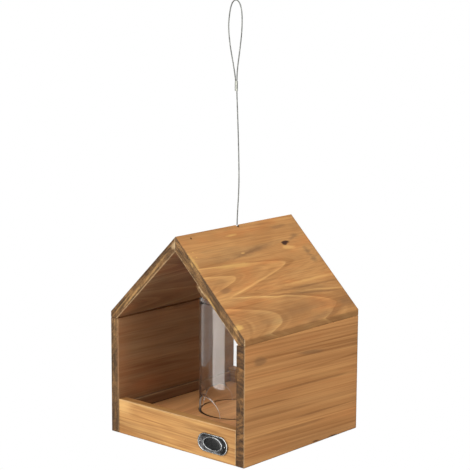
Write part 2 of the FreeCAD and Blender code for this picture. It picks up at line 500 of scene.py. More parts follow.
class PineSketch(NodeSketch):
    """The nodes of stained pine, in the millimetres of one board's own space.

    A span is the two values between which something goes from nothing to full, and a course is a span with
    the two values that it is moved to.
    """

    PALETTE = (
        (0.0, srgb(104, 64, 32)),
        (0.3, srgb(152, 102, 54)),
        (0.55, srgb(184, 131, 76)),
        (0.8, srgb(208, 157, 93)),
        (1.0, srgb(232, 190, 122)),
    )
    END_PALETTE = (
        (0.0, srgb(40, 29, 17)),
        (0.35, srgb(80, 61, 38)),
        (0.65, srgb(122, 96, 62)),
        (1.0, srgb(184, 150, 100)),
    )
    # the dark edge colour: part wear, part painted shade on rounded arrises and in gaps
    WORN = srgb(58, 43, 29)
    RUBBED = srgb(202, 172, 130)
    # painted shade in the ring groove round the tube's foot
    GROOVE_SHADE_TONE = srgb(24, 15, 10)
    GREY = srgb(104, 80, 54)

    FINE = Fibre(0.75, 0.012, 3.0, 1.0)
    HAIR = Fibre(2.2, 0.03, 2.0, 3.0)
    CLOUD = Fibre(0.035, 0.016, 3.0, 4.0)
    RAGGED_MARK = Fibre(0.35, 0.09, 3.0, 7.0)
    END_FIBRE = Fibre(1.1, 1.1, 3.0, 8.0)
    END_PATCH = Fibre(0.09, 0.09, 3.0, 9.0)
    RING_PATCH = Fibre(0.03, 0.014, 2.0, 10.0)
    HUE = Fibre(0.05, 0.013, 3.0, 11.0)
    RAGGED_EDGE = Fibre(0.5, 0.2, 3.0, 12.0)
    RING_STREAK = Fibre(0.13, 0.004, 3.0, 1.0)
    RING_THREAD = Fibre(0.45, 0.008, 3.0, 2.0)

    # How far a board's seed and a layer's mark shift the noise, and the share of its finer layers
    GRAIN_SHIFT = (7.3, 31.7)
    RING_SHIFT = (3.1, 17.3)
    END_SHIFT = 5.7
    GRAIN_ROUGHNESS = 0.55
    RING_ROUGHNESS = 0.6

    # Growth rings: tone through one year, strength of each year, and where they fade
    RING = ((0.0, 0.43), (0.1, 0.45), (0.4, 0.5), (0.76, 0.55), (0.9, 0.72), (0.965, 0.8), (1.0, 0.43))
    YEAR_STRENGTH = (0.4, 0.7)
    FADE_SPAN = (1.5, 7.0)
    SKIN_COURSE = (0.8, 3.0, 1.0, 0.2)
    PATCH_COURSE = (0.35, 0.6, 0.45, 1.15)
    BENDS = ((Fibre(0.03, 0.008, 2.0, 5.0), 1.0), (Fibre(0.16, 0.02, 2.0, 6.0), 0.25))
    PUSH_REACH = 2.6

    # Lines along the grain: their wave, the gaps in them, and whether they are dark or pale
    LINES = (
        (Fibre(0.085, 0.005, 2.0, 5.0), Fibre(0.05, 0.012, 2.0, 15.0), -1.0),
        (Fibre(0.085, 0.005, 2.0, 6.0), Fibre(0.05, 0.012, 2.0, 16.0), 0.7),
    )
    LINE_SPAN = (0.03, 0.004)
    GAP_SPAN = (0.42, 0.6)

    # Redder and greyer tints, and where on the noise they come up
    BLOTCHES = (((1.08, 0.92, 0.84), (0.5, 0.66)), ((0.84, 0.9, 0.98), (0.49, 0.33)))

    MIDDLE = 0.5
    NOISE_SPAN = (0.33, 0.67)
    HAIR_COURSE = (0.58, 0.74, 0.0, 0.3)
    INNER_SKIN = (2.0, 0.8)
    END_SPAN = (0.55, 0.85)
    END_TONE = 0.45
    END_LINES = 0.28
    END_FIBRES = 0.2
    END_PATCHES = 0.25
    ARC_SCALE = (0.5, 0.01)
    EDGE_SPAN = (1.3, 0.3)
    EDGE_RAGGED = (1.8, -0.9)
    GROOVE_SOFT = 0.3
    GROOVE_SHADE_STRENGTH = 0.75
    GROOVE_SPAN = (6.0, 5.0)
    GLOSS = 0.25
    ROUGHNESS = (0.2, 0.52)
    RELIEF_SHARE = 0.6
    RELIEF_STRENGTH = 0.35
    RELIEF_DEPTH = 0.25 * MM

    def __init__(self, pine: StainedPine) -> None:
        """Find where a point lies in the board and in its rings.

        Args:
            pine: The finish.
        """
        super().__init__(pine.name)
        self.pine = pine
        local = self.vector("SUBTRACT", self.coordinates(), pine.space.origin)
        axes = (pine.space.across, pine.space.through, pine.space.along)
        self.place = tuple(
            self.vector("DOT_PRODUCT", local, tuple(c * PER_MM for c in axis)) for axis in axes)
        self.ring = self._ring_distance()
        self.fine = self._grain_noise(self.FINE)

    def dressed(self, arrises: Sequence[Arris]) -> bpy.types.Material:
        """The board's finish.

        Args:
            arrises: The board's edges.

        Returns:
            The material.
        """
        pine = self.pine
        hair = self._grain_noise(self.HAIR)
        colour = self._blotched(self.ramp(self._tone(), self.PALETTE))
        colour = self.blend(self.remap(hair, *self.HAIR_COURSE), colour, self.GREY)
        colour = self.tinted(colour, pine.tint)
        # painted shade: faces inside the house take the inner tint
        inside = self.remap(self.place[1], *(pine.thickness - skin for skin in self.INNER_SKIN))
        colour = self.blend(inside, colour, self.tinted(colour, pine.inner_shade_tint))
        colour = self.blend(self._end_share(), colour, self._end_colour())
        colour = self._grooved(self._edged(self._marked(colour), arrises))
        self.surface(Base_Color=colour, Roughness=self.math("MULTIPLY_ADD", self.fine, *self.ROUGHNESS))
        self.surface(Specular_IOR_Level=self.GLOSS)
        coarse = self.math("MULTIPLY", self.fine, self.RELIEF_SHARE)
        height = self.math("MULTIPLY_ADD", hair, 1.0 - self.RELIEF_SHARE, coarse)
        self.relief(height, self.RELIEF_STRENGTH, self.RELIEF_DEPTH)
        return self.material

    def _grain_noise(self, fibre: Fibre) -> Socket:
        """Noise drawn out along the grain.

        Args:
            fibre: The layer.

        Returns:
            The noise's socket.
        """
        u, v, w = self.place
        by_seed, by_mark = self.GRAIN_SHIFT
        shift = self.pine.seed * by_seed + fibre.mark * by_mark
        read_at = self.combine(
            self.math("MULTIPLY_ADD", u, fibre.across, shift),
            self.math("MULTIPLY_ADD", v, fibre.across, -shift),
            self.math("MULTIPLY_ADD", w, fibre.along / self.pine.stretch, shift / 2))
        return self.noise(read_at, detail=fibre.detail, roughness=self.GRAIN_ROUGHNESS)

    def _ring_noise(self, fibre: Fibre) -> Socket:
        """Noise that runs with the rings.

        Args:
            fibre: The layer.

        Returns:
            The noise's socket.
        """
        by_seed, by_mark = self.RING_SHIFT
        shift = self.pine.seed * by_seed + fibre.mark * by_mark
        read_at = self.combine(
            self.math("MULTIPLY_ADD", self.ring, fibre.across, shift), shift,
            self.math("MULTIPLY", self.place[2], fibre.along / self.pine.stretch))
        return self.noise(read_at, detail=fibre.detail, roughness=self.RING_ROUGHNESS)

    def _layered(self, tone: Any, layers: Sequence[tuple[Socket, float]]) -> Socket:
        """A tone with noise on it.

        Args:
            tone: The tone so far.
            layers: Each noise and how far it moves the tone.

        Returns:
            The tone's socket.
        """
        for value, amount in layers:
            tone = self.math("ADD", tone, self.remap(value, *self.NOISE_SPAN, -amount / 2, amount / 2))
        return tone

    def _ring_distance(self) -> Socket:
        """Distance outwards from the ring that closes at the tips, in millimetres.

        Returns:
            The distance's socket.
        """
        pine = self.pine
        u, v, w = self.place
        distance = None
        for heart in pine.hearts:
            back = self.math("MAXIMUM", self.math("SUBTRACT", w, heart.tip), -heart.reach)
            sideways = self.math("MULTIPLY_ADD", back, heart.drift, self.math("SUBTRACT", u, heart.across))
            inwards = self.math("SUBTRACT", v, heart.depth)
            radius = self.vector("LENGTH", self.combine(sideways, inwards, 0.0))
            start = abs(heart.depth) + heart.inner * pine.ring_spacing
            from_tip = self.math("MULTIPLY_ADD", back, pine.taper, self.math("SUBTRACT", radius, start))
            distance = from_tip if distance is None else self.math("SMOOTH_MIN", distance, from_tip, 1.0)
        for fibre, share in self.BENDS:
            bend = share * pine.wander
            moved = self.math("MULTIPLY_ADD", self._grain_noise(fibre), 2 * bend, -bend)
            distance = self.math("ADD", distance, moved)
        for mark in pine.marks:
            if mark.push:
                near = self._mark_share(mark, self.PUSH_REACH)
                distance = self.math("MULTIPLY_ADD", near, mark.push, distance)
        return distance

    def _ring_tone(self) -> Socket:
        """The pale late edge of each year's ring, stronger near the hearts and at the board's skin.

        Returns:
            The tone's difference from the middle.
        """
        pine = self.pine
        years = self.math("DIVIDE", self.ring, pine.ring_spacing)
        year = self.node("ShaderNodeTexWhiteNoise", noise_dimensions="1D")
        self.fill(year, W=self.math("ADD", self.math("FLOOR", years), pine.seed))
        strength = self.math("MULTIPLY_ADD", year.outputs["Value"], *self.YEAR_STRENGTH)
        far = pine.ring_contrast * pine.far_contrast
        half = pine.thickness / 2
        off_middle = self.math("ABSOLUTE", self.math("SUBTRACT", self.place[1], half))
        for factor in (
            self.remap(self.ring, *self.FADE_SPAN, pine.ring_contrast, far),
            self.remap(self.math("SUBTRACT", half, off_middle), *self.SKIN_COURSE),
            self.remap(self._grain_noise(self.RING_PATCH), *self.PATCH_COURSE),
        ):
            strength = self.math("MULTIPLY", strength, factor)
        late = self.math("SUBTRACT", self.levels(self.math("FRACT", years), self.RING), self.MIDDLE)
        return self.math("MULTIPLY", late, strength)

    def _tone(self) -> Socket:
        """How light the wood is, from 0 to 1, before its colour.

        Returns:
            The tone's socket.
        """
        pine = self.pine
        tone = self._layered(self.math("ADD", self._ring_tone(), self.MIDDLE), (
            (self._ring_noise(self.RING_STREAK), pine.streaks),
            (self._ring_noise(self.RING_THREAD), pine.threads / 2),
            (self.fine, pine.threads),
            (self._grain_noise(self.CLOUD), pine.clouds),
        ))
        for wave, gaps, sign in self.LINES:
            off = self.math("ABSOLUTE", self.math("SUBTRACT", self._ring_noise(wave), self.MIDDLE))
            shows = self.remap(self._grain_noise(gaps), *self.GAP_SPAN)
            line = self.math("MULTIPLY", self.remap(off, *self.LINE_SPAN), shows)
            tone = self.math("ADD", tone, self.math("MULTIPLY", line, sign * pine.lines))
        return tone

    def _blotched(self, colour: Socket) -> Socket:
        """Redder and greyer patches where the stain took differently.

        Args:
            colour: The colour so far.

        Returns:
            The colour's socket.
        """
        hue = self._grain_noise(self.HUE)
        for tint, span in self.BLOTCHES:
            share = self.remap(hue, *span, 0.0, self.pine.blotches)
            colour = self.blend(share, colour, self.tinted(colour, tint))
        return colour

    def _mark_share(self, mark: Mark, reach: float = 1.0) -> Socket:
        """How much of a mark shows at a point.

        Args:
            mark: The mark.
            reach: Factor on the mark's size.

        Returns:
            A share from 0 to 1.
        """
        u, v, w = self.place
        off_along = self.math("SUBTRACT", w, mark.along)
        off_across = self.math("MULTIPLY_ADD", off_along, -mark.lean, self.math("SUBTRACT", u, mark.across))
        off_depth = self.math("MULTIPLY_ADD", off_across, -mark.dip, self.math("SUBTRACT", v, mark.depth))
        scaled = self.combine(
            self.math("DIVIDE", off_across, mark.half_across * reach),
            self.math("DIVIDE", off_depth, mark.half_depth * reach),
            self.math("DIVIDE", off_along, mark.half_along * reach))
        torn = self._grain_noise(self.RAGGED_MARK)
        ragged = self.math("MULTIPLY_ADD", torn, 2 * mark.ragged, -mark.ragged)
        away = self.math("ADD", self.vector("LENGTH", scaled), ragged)
        return self.remap(away, 1.0, 1.0 - mark.softness)

    def _marked(self, colour: Socket) -> Socket:
        """The colour with the board's marks on it.

        Args:
            colour: The colour so far.

        Returns:
            The colour's socket.
        """
        for mark in self.pine.marks:
            share = self.math("MULTIPLY", self._mark_share(mark), mark.strength)
            colour = self.blend(share, colour, mark.colour)
        return colour

    def _end_share(self) -> Socket:
        """1 on sawn ends, where the surface looks along the grain, and 0 elsewhere."""
        facing = self.vector("DOT_PRODUCT", self.coordinates("Normal"), self.pine.space.along)
        return self.remap(self.math("ABSOLUTE", facing), *self.END_SPAN)

    def _end_colour(self) -> Socket:
        """Colour of a sawn end: cut fibres, darker and greyer, with lines along the edge and rings as arcs.

        Returns:
            The colour's socket.
        """
        pine = self.pine
        u, v, _ = self.place
        shift = pine.seed * self.END_SHIFT
        across, through = pine.end_lines
        drawn = self.combine(
            self.math("MULTIPLY_ADD", u, across, shift), self.math("MULTIPLY_ADD", v, through, -shift), 0.0)
        radius = self.vector("DISTANCE", self.combine(u, v, 0.0), self.combine(*pine.end_heart, 0.0))
        outwards, sideways = self.ARC_SCALE
        bent = self.combine(
            self.math("MULTIPLY", radius, outwards), shift, self.math("MULTIPLY", u, sideways))
        tone = self._layered(self.END_TONE, (
            (self.noise(drawn, detail=4.0, roughness=self.RING_ROUGHNESS), self.END_LINES),
            (self.noise(bent, detail=3.0), pine.end_rings),
            (self._grain_noise(self.END_FIBRE), self.END_FIBRES),
            (self._grain_noise(self.END_PATCH), self.END_PATCHES),
        ))
        return self.tinted(self.ramp(tone, self.END_PALETTE), pine.end_tint)

    def _from_plane(self, normal: Triple, offset: float) -> Socket:
        """Distance from a face's plane, in millimetres.

        Args:
            normal: The face's outward normal.
            offset: The plane's distance from the origin, in metres.

        Returns:
            The distance's socket.
        """
        inwards = tuple(-PER_MM * c for c in normal)
        reach = self.vector("DOT_PRODUCT", self.coordinates(), inwards)
        return self.math("ABSOLUTE", self.math("ADD", reach, offset * PER_MM))

    def _edged(self, colour: Socket, arrises: Sequence[Arris]) -> Socket:
        """The colour with dark edges, part weathered and part painted shade, and pale rubbed edges, both
        ragged.

        Args:
            colour: The colour so far.
            arrises: The board's edges.

        Returns:
            The colour's socket.
        """
        aged = [arris for arris in arrises if arris.look is not EdgeLook.PLAIN]
        faces = dict.fromkeys(face for arris in aged for face in (arris.first, arris.second))
        below = {face: self._from_plane(*face) for face in faces}
        ragged = self.math("MULTIPLY_ADD", self._grain_noise(self.RAGGED_EDGE), *self.EDGE_RAGGED)
        for look, tint, strength in (
            (EdgeLook.WORN, self.WORN, self.pine.wear), (EdgeLook.RUBBED, self.RUBBED, self.pine.rub),
        ):
            away = None
            for arris in aged:
                if arris.look is look:
                    far = self.math("MAXIMUM", below[arris.first], below[arris.second])
                    away = far if away is None else self.math("MINIMUM", away, far)
            if away is not None:
                share = self.remap(self.math("ADD", away, ragged), *self.EDGE_SPAN, 0.0, strength)
                colour = self.blend(share, colour, tint)
        return colour

    def _grooved(self, colour: Socket) -> Socket:
        """The colour darkened in a ring groove, as painted shade where the tube stands in it.

        Args:
            colour: The colour so far.

        Returns:
            The colour's socket.
        """
        if self.pine.groove is None:
            return colour
        middle, half_width = self.pine.groove
        flat = self.vector("MULTIPLY", self.coordinates(), (PER_MM, PER_MM, 0.0))
        off = self.math("ABSOLUTE", self.math("SUBTRACT", self.vector("LENGTH", flat), middle))
        inside = self.remap(off, half_width + self.GROOVE_SOFT, half_width, 0.0, self.GROOVE_SHADE_STRENGTH)
        upper = self.remap(self.place[1], *self.GROOVE_SPAN)
        return self.blend(self.math("MULTIPLY", inside, upper), colour, self.GROOVE_SHADE_TONE)


@dataclass(frozen=True)
class ClearGlass:
    """Clear moulded tube; dust is the pale film that shows where it is seen edge on."""

    name: str = "clear_tube"
    dust: float = 0.06

    def material(self) -> bpy.types.Material:
        """The tube's finish.

        Returns:
            The material.
        """
        s = NodeSketch(self.name)
        swirl = s.noise(s.coordinates(), scale=60.0)
        s.surface(Base_Color=s.ramp(swirl, [(0.3, (0.97, 0.975, 0.97)), (0.7, (0.985, 0.985, 0.98))]))
        s.surface(Roughness=0.0, Transmission_Weight=0.997, IOR=REFRACTION)
        s.surface(Sheen_Weight=self.dust, Sheen_Roughness=0.4)
        s.relief(swirl, strength=0.02, depth=0.1 * MM)
        return s.material


@dataclass(frozen=True)
class CutEdge:
    """A cut edge of the clear tube; clear is the share of light that goes through it."""

    name: str
    dull: Colour
    bright: Colour
    roughness: float
    clear: float

    def material(self) -> bpy.types.Material:
        """The edge's finish.

        Returns:
            The material.
        """
        s = NodeSketch(self.name)
        marks = s.noise(s.coordinates(), scale=900.0, detail=3.0)
        s.surface(Base_Color=s.ramp(marks, [(0.3, self.dull), (0.7, self.bright)]))
        s.surface(Roughness=s.math("MULTIPLY_ADD", marks, 0.2, self.roughness))
        s.surface(Transmission_Weight=self.clear, IOR=REFRACTION)
        s.relief(marks, strength=0.2, depth=0.05 * MM)
        return s.material


@dataclass(frozen=True)
class Metal:
    """A metal with fine scratches, clouding and wear."""

    name: str
    light: Colour
    dark: Colour
    roughness: float
    scratch_scale: Triple = (900.0, 900.0, 90.0)
    cloud_scale: float = 220.0
    cloud_share: float = 0.7
    shade_span: tuple[float, float] = (0.35, 0.6)
    roughness_spread: float = 0.16
    relief_depth: float = 0.03 * MM

    def material(self) -> bpy.types.Material:
        """The metal's finish.

        Returns:
            The material.
        """
        s = NodeSketch(self.name)
        scratches = s.noise(s.vector("MULTIPLY", s.coordinates(), self.scratch_scale), detail=3.0)
        clouds = s.noise(s.coordinates(), self.cloud_scale, detail=4.0)
        clouded = s.math("MULTIPLY", clouds, self.cloud_share)
        shade = s.math("MULTIPLY_ADD", scratches, 1.0 - self.cloud_share, clouded)
        s.surface(Base_Color=s.ramp(shade, tuple(zip(self.shade_span, (self.dark, self.light)))))
        smoothest = self.roughness - self.roughness_spread / 2
        s.surface(Roughness=s.math("MULTIPLY_ADD", scratches, self.roughness_spread, smoothest))
        s.surface(Metallic=1.0)
        s.relief(scratches, strength=0.3, depth=self.relief_depth)
        return s.material


@dataclass(frozen=True)
class Enamel:
    """Dark fired enamel with a little orange peel."""

    name: str = "badge_enamel"
    light: Colour = srgb(20, 21, 21)
    dark: Colour = srgb(7, 8, 8)

    def material(self) -> bpy.types.Material:
        """The enamel's finish.

        Returns:
            The material.
        """
        s = NodeSketch(self.name)
        clouds = s.noise(s.coordinates(), scale=500.0, detail=3.0)
        s.surface(Base_Color=s.ramp(clouds, [(0.35, self.dark), (0.65, self.light)]))
        s.surface(Roughness=s.math("MULTIPLY_ADD", clouds, 0.2, 0.18))
        s.surface(Specular_IOR_Level=0.3, Coat_Weight=0.15, Coat_Roughness=0.1)
        s.relief(s.noise(s.coordinates(), scale=1500.0), strength=0.12, depth=0.05 * MM)
        return s.material


@dataclass(frozen=True)
class TurnedBeech:
    """Plain turned dowel wood with fine grain along its length."""

    name: str
    along: Triple
    along_scale: float = 40.0
    across_scale: float = 1200.0

    def material(self) -> bpy.types.Material:
        """The dowels' finish.

        Returns:
            The material.
        """
        s = NodeSketch(self.name)
        stretch = tuple(self.along_scale if c else self.across_scale for c in self.along)
        grain = s.noise(s.vector("MULTIPLY", s.coordinates(), stretch), detail=4.0)
        s.surface(Base_Color=s.ramp(grain, [(0.3, srgb(186, 146, 104)), (0.7, srgb(218, 184, 142))]))
        s.surface(Roughness=s.math("MULTIPLY_ADD", grain, 0.2, 0.55))
        s.relief(grain, strength=0.3, depth=0.1 * MM)
        return s.material


class Bench:
    """Modelling by operators, on one piece at a time."""

    @staticmethod
    def clear() -> None:
        """Deselect everything."""
        bpy.ops.object.select_all(action="DESELECT")

    @staticmethod
    def take(piece: bpy.types.Object) -> None:
        """Make one piece the only selected one, and the active one.

        Args:
            piece: The piece.
        """
        Bench.clear()
        piece.select_set(True)
        bpy.context.view_layer.objects.active = piece

    @staticmethod
    def place(name: str, data: bpy.types.ID) -> bpy.types.Object:
        """Put an object into the scene.

        Args:
            name: The object's name.
            data: Its curve, camera or light.

        Returns:
            The object.
        """
        made = bpy.data.objects.new(name, data)
        bpy.context.scene.collection.objects.link(made)
        return made

    @staticmethod
    def new(name: str, size: Sequence[float] = (1.0, 1.0, 1.0)) -> bpy.types.Object:
        """Name the primitive that was just added, and settle its size and place into its mesh.

        Args:
            name: The piece's name.
            size: Factors on its own three sides.

        Returns:
            The piece.
        """
        piece = bpy.context.active_object
        piece.scale = size
        piece.name = name
        piece.data.name = name
        Bench.take(piece)
        bpy.ops.object.transform_apply(location=True, rotation=True, scale=True)
        return piece

    @staticmethod
    @contextmanager
    def editing(piece: bpy.types.Object) -> Iterator[None]:
        """Edit mode on a piece, with all of it selected at the start.

        Args:
            piece: The piece.

        Yields:
            Nothing; the operators act on the piece meanwhile.
        """
        Bench.take(piece)
        bpy.ops.object.mode_set(mode="EDIT")
        bpy.ops.mesh.select_all(action="SELECT")
        yield
        bpy.ops.object.mode_set(mode="OBJECT")

    @staticmethod
    def pick(piece: bpy.types.Object, what: Pick, test: Callable[[Any], bool]) -> None:
        """Select by place or normal, in edit mode.

        Args:
            piece: The piece in edit mode.
            what: Vertices, edges or faces.
            test: Whether one of them is wanted.
        """
        bpy.ops.mesh.select_mode(type=what.value)
        bpy.ops.mesh.select_all(action="DESELECT")
        mesh = bmesh.from_edit_mesh(piece.data)
        parts = {Pick.VERT: mesh.verts, Pick.EDGE: mesh.edges, Pick.FACE: mesh.faces}[what]
        for part in parts:
            if test(part):
                part.select_set(True)
        mesh.select_flush_mode()
        bmesh.update_edit_mesh(piece.data)

    @staticmethod
    def modify(piece: bpy.types.Object, kind: str, **settings: Any) -> None:
        """Add a modifier and apply it.

        Args:
            piece: The piece.
            kind: Blender's name of the modifier type.
            **settings: The modifier's properties.
        """
        Bench.take(piece)
        modifier = piece.modifiers.new(kind.title(), kind)
        for name, value in settings.items():
            setattr(modifier, name, value)
        bpy.ops.object.modifier_apply(modifier=modifier.name)

    @staticmethod
    def round_edges(piece: bpy.types.Object, degrees: float, width: float, segments: int = 3) -> None:
        """Bevel the edges that turn by more than an angle."""
        Bench.modify(piece, "BEVEL", limit_method="ANGLE", angle_limit=math.radians(degrees), width=width,
                     segments=segments)

    @staticmethod
    def roughen(piece: bpy.types.Object, name: str, lump: float, strength: float, level: float) -> None:
        """Move a piece's surface in and out by clouds of noise.

        Args:
            piece: The piece.
            name: The noise texture's name.
            lump: Size of the noise's lumps.
            strength: How far it moves the surface.
            level: The noise's value at which the surface stays.
        """
        texture = bpy.data.textures.new(name, "CLOUDS")
        texture.noise_scale = lump
        texture.noise_depth = 3
        Bench.modify(piece, "DISPLACE", texture=texture, texture_coords="LOCAL", strength=strength,
                     mid_level=level)

    @staticmethod
    def join(piece: bpy.types.Object, other: bpy.types.Object) -> None:
        """Make another piece's mesh a part of one.

        Args:
            piece: The piece that stays.
            other: The piece that goes into it.
        """
        Bench.take(piece)
        other.select_set(True)
        bpy.ops.object.join()

    @staticmethod
    def extrude(forwards: float) -> None:
        """Extrude the selected faces towards the front."""
        bpy.ops.mesh.extrude_region_move(TRANSFORM_OT_translate={"value": (0.0, -forwards, 0.0)})

    @staticmethod
    def step(inset: float, forwards: float) -> None:
        """Inset the selected faces and move them towards the front."""
        bpy.ops.mesh.inset(thickness=inset)
        bpy.ops.transform.translate(value=(0.0, -forwards, 0.0))

    @staticmethod
    def slice(point: Vector, normal: Vector, clear: bool) -> None:
        """Bisect what is edited by a plane, and if clear, cut away and close the side it faces."""
        bpy.ops.mesh.select_all(action="SELECT")
        bpy.ops.mesh.bisect(plane_co=point, plane_no=normal, use_fill=clear, clear_outer=clear)

    @staticmethod
    def cut(piece: bpy.types.Object, cutter: bpy.types.Object) -> None:
        """Cut a piece with another closed one, which is then removed."""
        Bench.modify(piece, "BOOLEAN", operation="DIFFERENCE", solver="EXACT", object=cutter)
        bpy.data.objects.remove(cutter)

    @staticmethod
    def drill(piece: bpy.types.Object, start: Vector, heading: Vector, radius: float,
              length: float) -> None:
        """Drill a round hole.

        Args:
            piece: The piece.
            start: Where the drill starts, outside the piece.
            heading: Where it goes.
            radius: The hole's radius.
            length: How far the drill goes.
        """
        turn = heading.to_track_quat("Z", "Y").to_euler()
        middle = start + heading.normalized() * length / 2
        bpy.ops.mesh.primitive_cylinder_add(
            vertices=32, radius=radius, depth=length, location=middle, rotation=turn)
        Bench.cut(piece, Bench.new("drill"))

    @staticmethod
    def close(piece: bpy.types.Object) -> None:
        """Merge doubles and turn all faces outwards.

        Args:
            piece: The piece.
        """
        with Bench.editing(piece):
            bpy.ops.mesh.remove_doubles(threshold=WELD)
            bpy.ops.mesh.normals_make_consistent(inside=False)

    @staticmethod
    def smooth(piece: bpy.types.Object, degrees: float = 35.0) -> None:
        """Smooth shading, with sharp edges kept."""
        Bench.take(piece)
        bpy.ops.object.shade_smooth_by_angle(angle=math.radians(degrees))

    @staticmethod
    def dress_part(piece: bpy.types.Object, material: bpy.types.Material,
                   test: Callable[[bpy.types.MeshPolygon], bool]) -> None:
        """Give some faces of a finished piece a second finish.

        Args:
            piece: The piece.
            material: The finish.
            test: Whether a face gets it.
        """
        piece.data.materials.append(material)
        index = len(piece.data.materials) - 1
        for face in piece.data.polygons:
            if test(face):
                face.material_index = index

    @staticmethod
    def finish(piece: bpy.types.Object, material: bpy.types.Material, body: Body, slot: Slot,
               *nodes: str) -> None:
        """Dress a piece, set it on its body and let it stand for CAD nodes.

        Args:
            piece: The piece.
            material: Its finish.
            body: The body it rides on.
            slot: The record's material slot; not used.
            *nodes: The CAD nodes it stands for.
        """
        piece.data.materials.clear()
        piece.data.materials.append(material)
        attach(piece, body.value)
        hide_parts(*nodes)
        LOG.info("%s: %d faces on %s", piece.name, len(piece.data.polygons), body.value)


@dataclass
class PhotoCamera:
    """The photograph's viewpoint."""

    azimuth: float = 41.385
    elevation: float = 10.495
    roll: float = 0.301
    location: Triple = (0.99535, -1.13044, 0.47124)
    lens: float = 123.34
    sensor: float = 36.0

    def build(self) -> None:
        """Set the camera up and make it the scene's own."""
        turn, roll = math.radians(self.azimuth), math.radians(self.roll)
        back = direction(self.azimuth, self.elevation)
        right = Vector((math.cos(turn), math.sin(turn), 0.0))
        up = back.cross(right)
        rolled_right = right * math.cos(roll) + up * math.sin(roll)
        rolled_up = up * math.cos(roll) - right * math.sin(roll)
        data = bpy.data.cameras.new("photo_camera")
        data.lens = self.lens
        data.sensor_width = self.sensor
        camera = Bench.place("photo_camera", data)
        turned = Matrix((rolled_right, rolled_up, back)).transposed().to_4x4()
        camera.matrix_world = Matrix.Translation(self.location) @ turned
        bpy.context.scene.camera = camera


@dataclass(frozen=True)
class Softbox:
    """A soft panel light that faces the feeder.

    azimuth is measured as the camera's is, radiance is its brightness against a white background of 1.
    """

    name: str
    azimuth: float
    elevation: float
    distance: float
    width: float
    height: float
    radiance: float
    colour: Colour = (1.0, 1.0, 1.0)

    def build(self, target: Vector) -> None:
        """Hang the panel.

        Args:
            target: What it faces.
        """
        towards = direction(self.azimuth, self.elevation)
        data = bpy.data.lights.new(self.name, "AREA")
        data.shape = "RECTANGLE"
        data.size, data.size_y = self.width, self.height
        data.energy = self.radiance * math.pi * self.width * self.height
        data.color = self.colour
        light = Bench.place(self.name, data)
        light.location = target + towards * self.distance
        light.rotation_euler = towards.to_track_quat("Z", "Y").to_euler()
        light.visible_camera = False


@dataclass
class Studio:
    """White studio: soft panels, a white surround and a pale floor under the hanging feeder.

    The surround's ambient light and what mirrors show of it change from front to back, over ambient_turn and
    mirror_turn of its Y, and behind, from left to right, over mirror_step of its X. mirrored_through is how
    bright it is where the tube mirrors it.
    """

    target: Triple = (0.0, 0.0, 0.1)
    ambient_front: float = 0.42
    ambient_back: float = 0.14
    mirror_front: float = 0.15
    mirror_right: float = 0.12
    mirror_step: tuple[float, float] = (-0.3, 0.05)
    mirror_turn: float = 0.3
    ambient_turn: float = 0.5
    mirrored_through: float = 0.55
    floor_drop: float = 0.6
    floor_radius: float = 0.8
    floor_fade: float = 0.55
    floor_glow: float = 0.35
    panels: tuple[Softbox, ...] = (
        Softbox("front_left_panel", -13.6, 10.0, 2.0, 1.69, 2.9, 3.6, (1.0, 0.98, 0.93)),
        Softbox("right_panel", 92.0, 30.0, 1.6, 1.5, 1.5, 2.35),
        Softbox("top_panel", 0.0, 88.0, 1.5, 1.4, 1.4, 1.4),
        Softbox("rear_left_panel", 235.0, 25.0, 1.8, 1.2, 1.2, 1.2),
    )

    def build(self) -> None:
        """Set up the view transform, the surround, the floor and the lights."""
        bpy.context.scene.view_settings.view_transform = "Standard"
        self._surround()
        self._floor()
        for panel in self.panels:
            panel.build(Vector(self.target))

    def _surround(self) -> None:
        """A world that is white where it is seen or shows through the tube, and dimmer as a light."""
        s = SurroundSketch("white_surround")
        x, y, _ = s.split(s.coordinates("Generated"))
        path = s.node("ShaderNodeLightPath").outputs
        behind = s.remap(x, *self.mirror_step, 1.0, self.mirror_right)
        mirrored = s.remap(y, -self.mirror_turn, self.mirror_turn, self.mirror_front, behind)
        ambient = s.remap(y, -self.ambient_turn, self.ambient_turn, self.ambient_front, self.ambient_back)
        straight = s.remap(path["Glossy Depth"], 0.0, 1.0, 1.0, self.mirrored_through)
        through = s.math("MULTIPLY", path["Is Transmission Ray"], straight)
        mirror = s.math("MAXIMUM", path["Is Glossy Ray"], path["Is Transmission Ray"])
        lit = s.remap(mirror, 0.0, 1.0, ambient, mirrored)
        seen = s.math("MAXIMUM", path["Is Camera Ray"], through)
        s.surface(Color=(1.0, 1.0, 1.0), Strength=s.remap(seen, 0.0, 1.0, lit, 1.0))

    def _floor(self) -> None:
        """A pale round floor, faded out at its rim, that keeps the feeder's shadow."""
        Bench.clear()
        bpy.ops.mesh.primitive_circle_add(
            vertices=96, radius=self.floor_radius, fill_type="NGON", location=(0.0, 0.0, -self.floor_drop))
        floor = Bench.new("studio_floor")
        s = NodeSketch("studio_floor")
        away = s.vector("LENGTH", s.vector("MULTIPLY", s.coordinates(), (1.0, 1.0, 0.0)))
        grit = s.noise(s.coordinates(), scale=40.0)
        s.surface(Base_Color=s.ramp(grit, [(0.3, (0.83, 0.83, 0.83)), (0.7, (0.86, 0.86, 0.86))]))
        s.surface(Roughness=0.8, Emission_Color=(1.0, 1.0, 1.0))
        is_seen = s.node("ShaderNodeLightPath").outputs["Is Camera Ray"]
        s.surface(Emission_Strength=s.math("MULTIPLY", is_seen, self.floor_glow))
        s.surface(Alpha=s.remap(away, self.floor_radius, self.floor_fade * self.floor_radius))
        floor.data.materials.append(s.material)


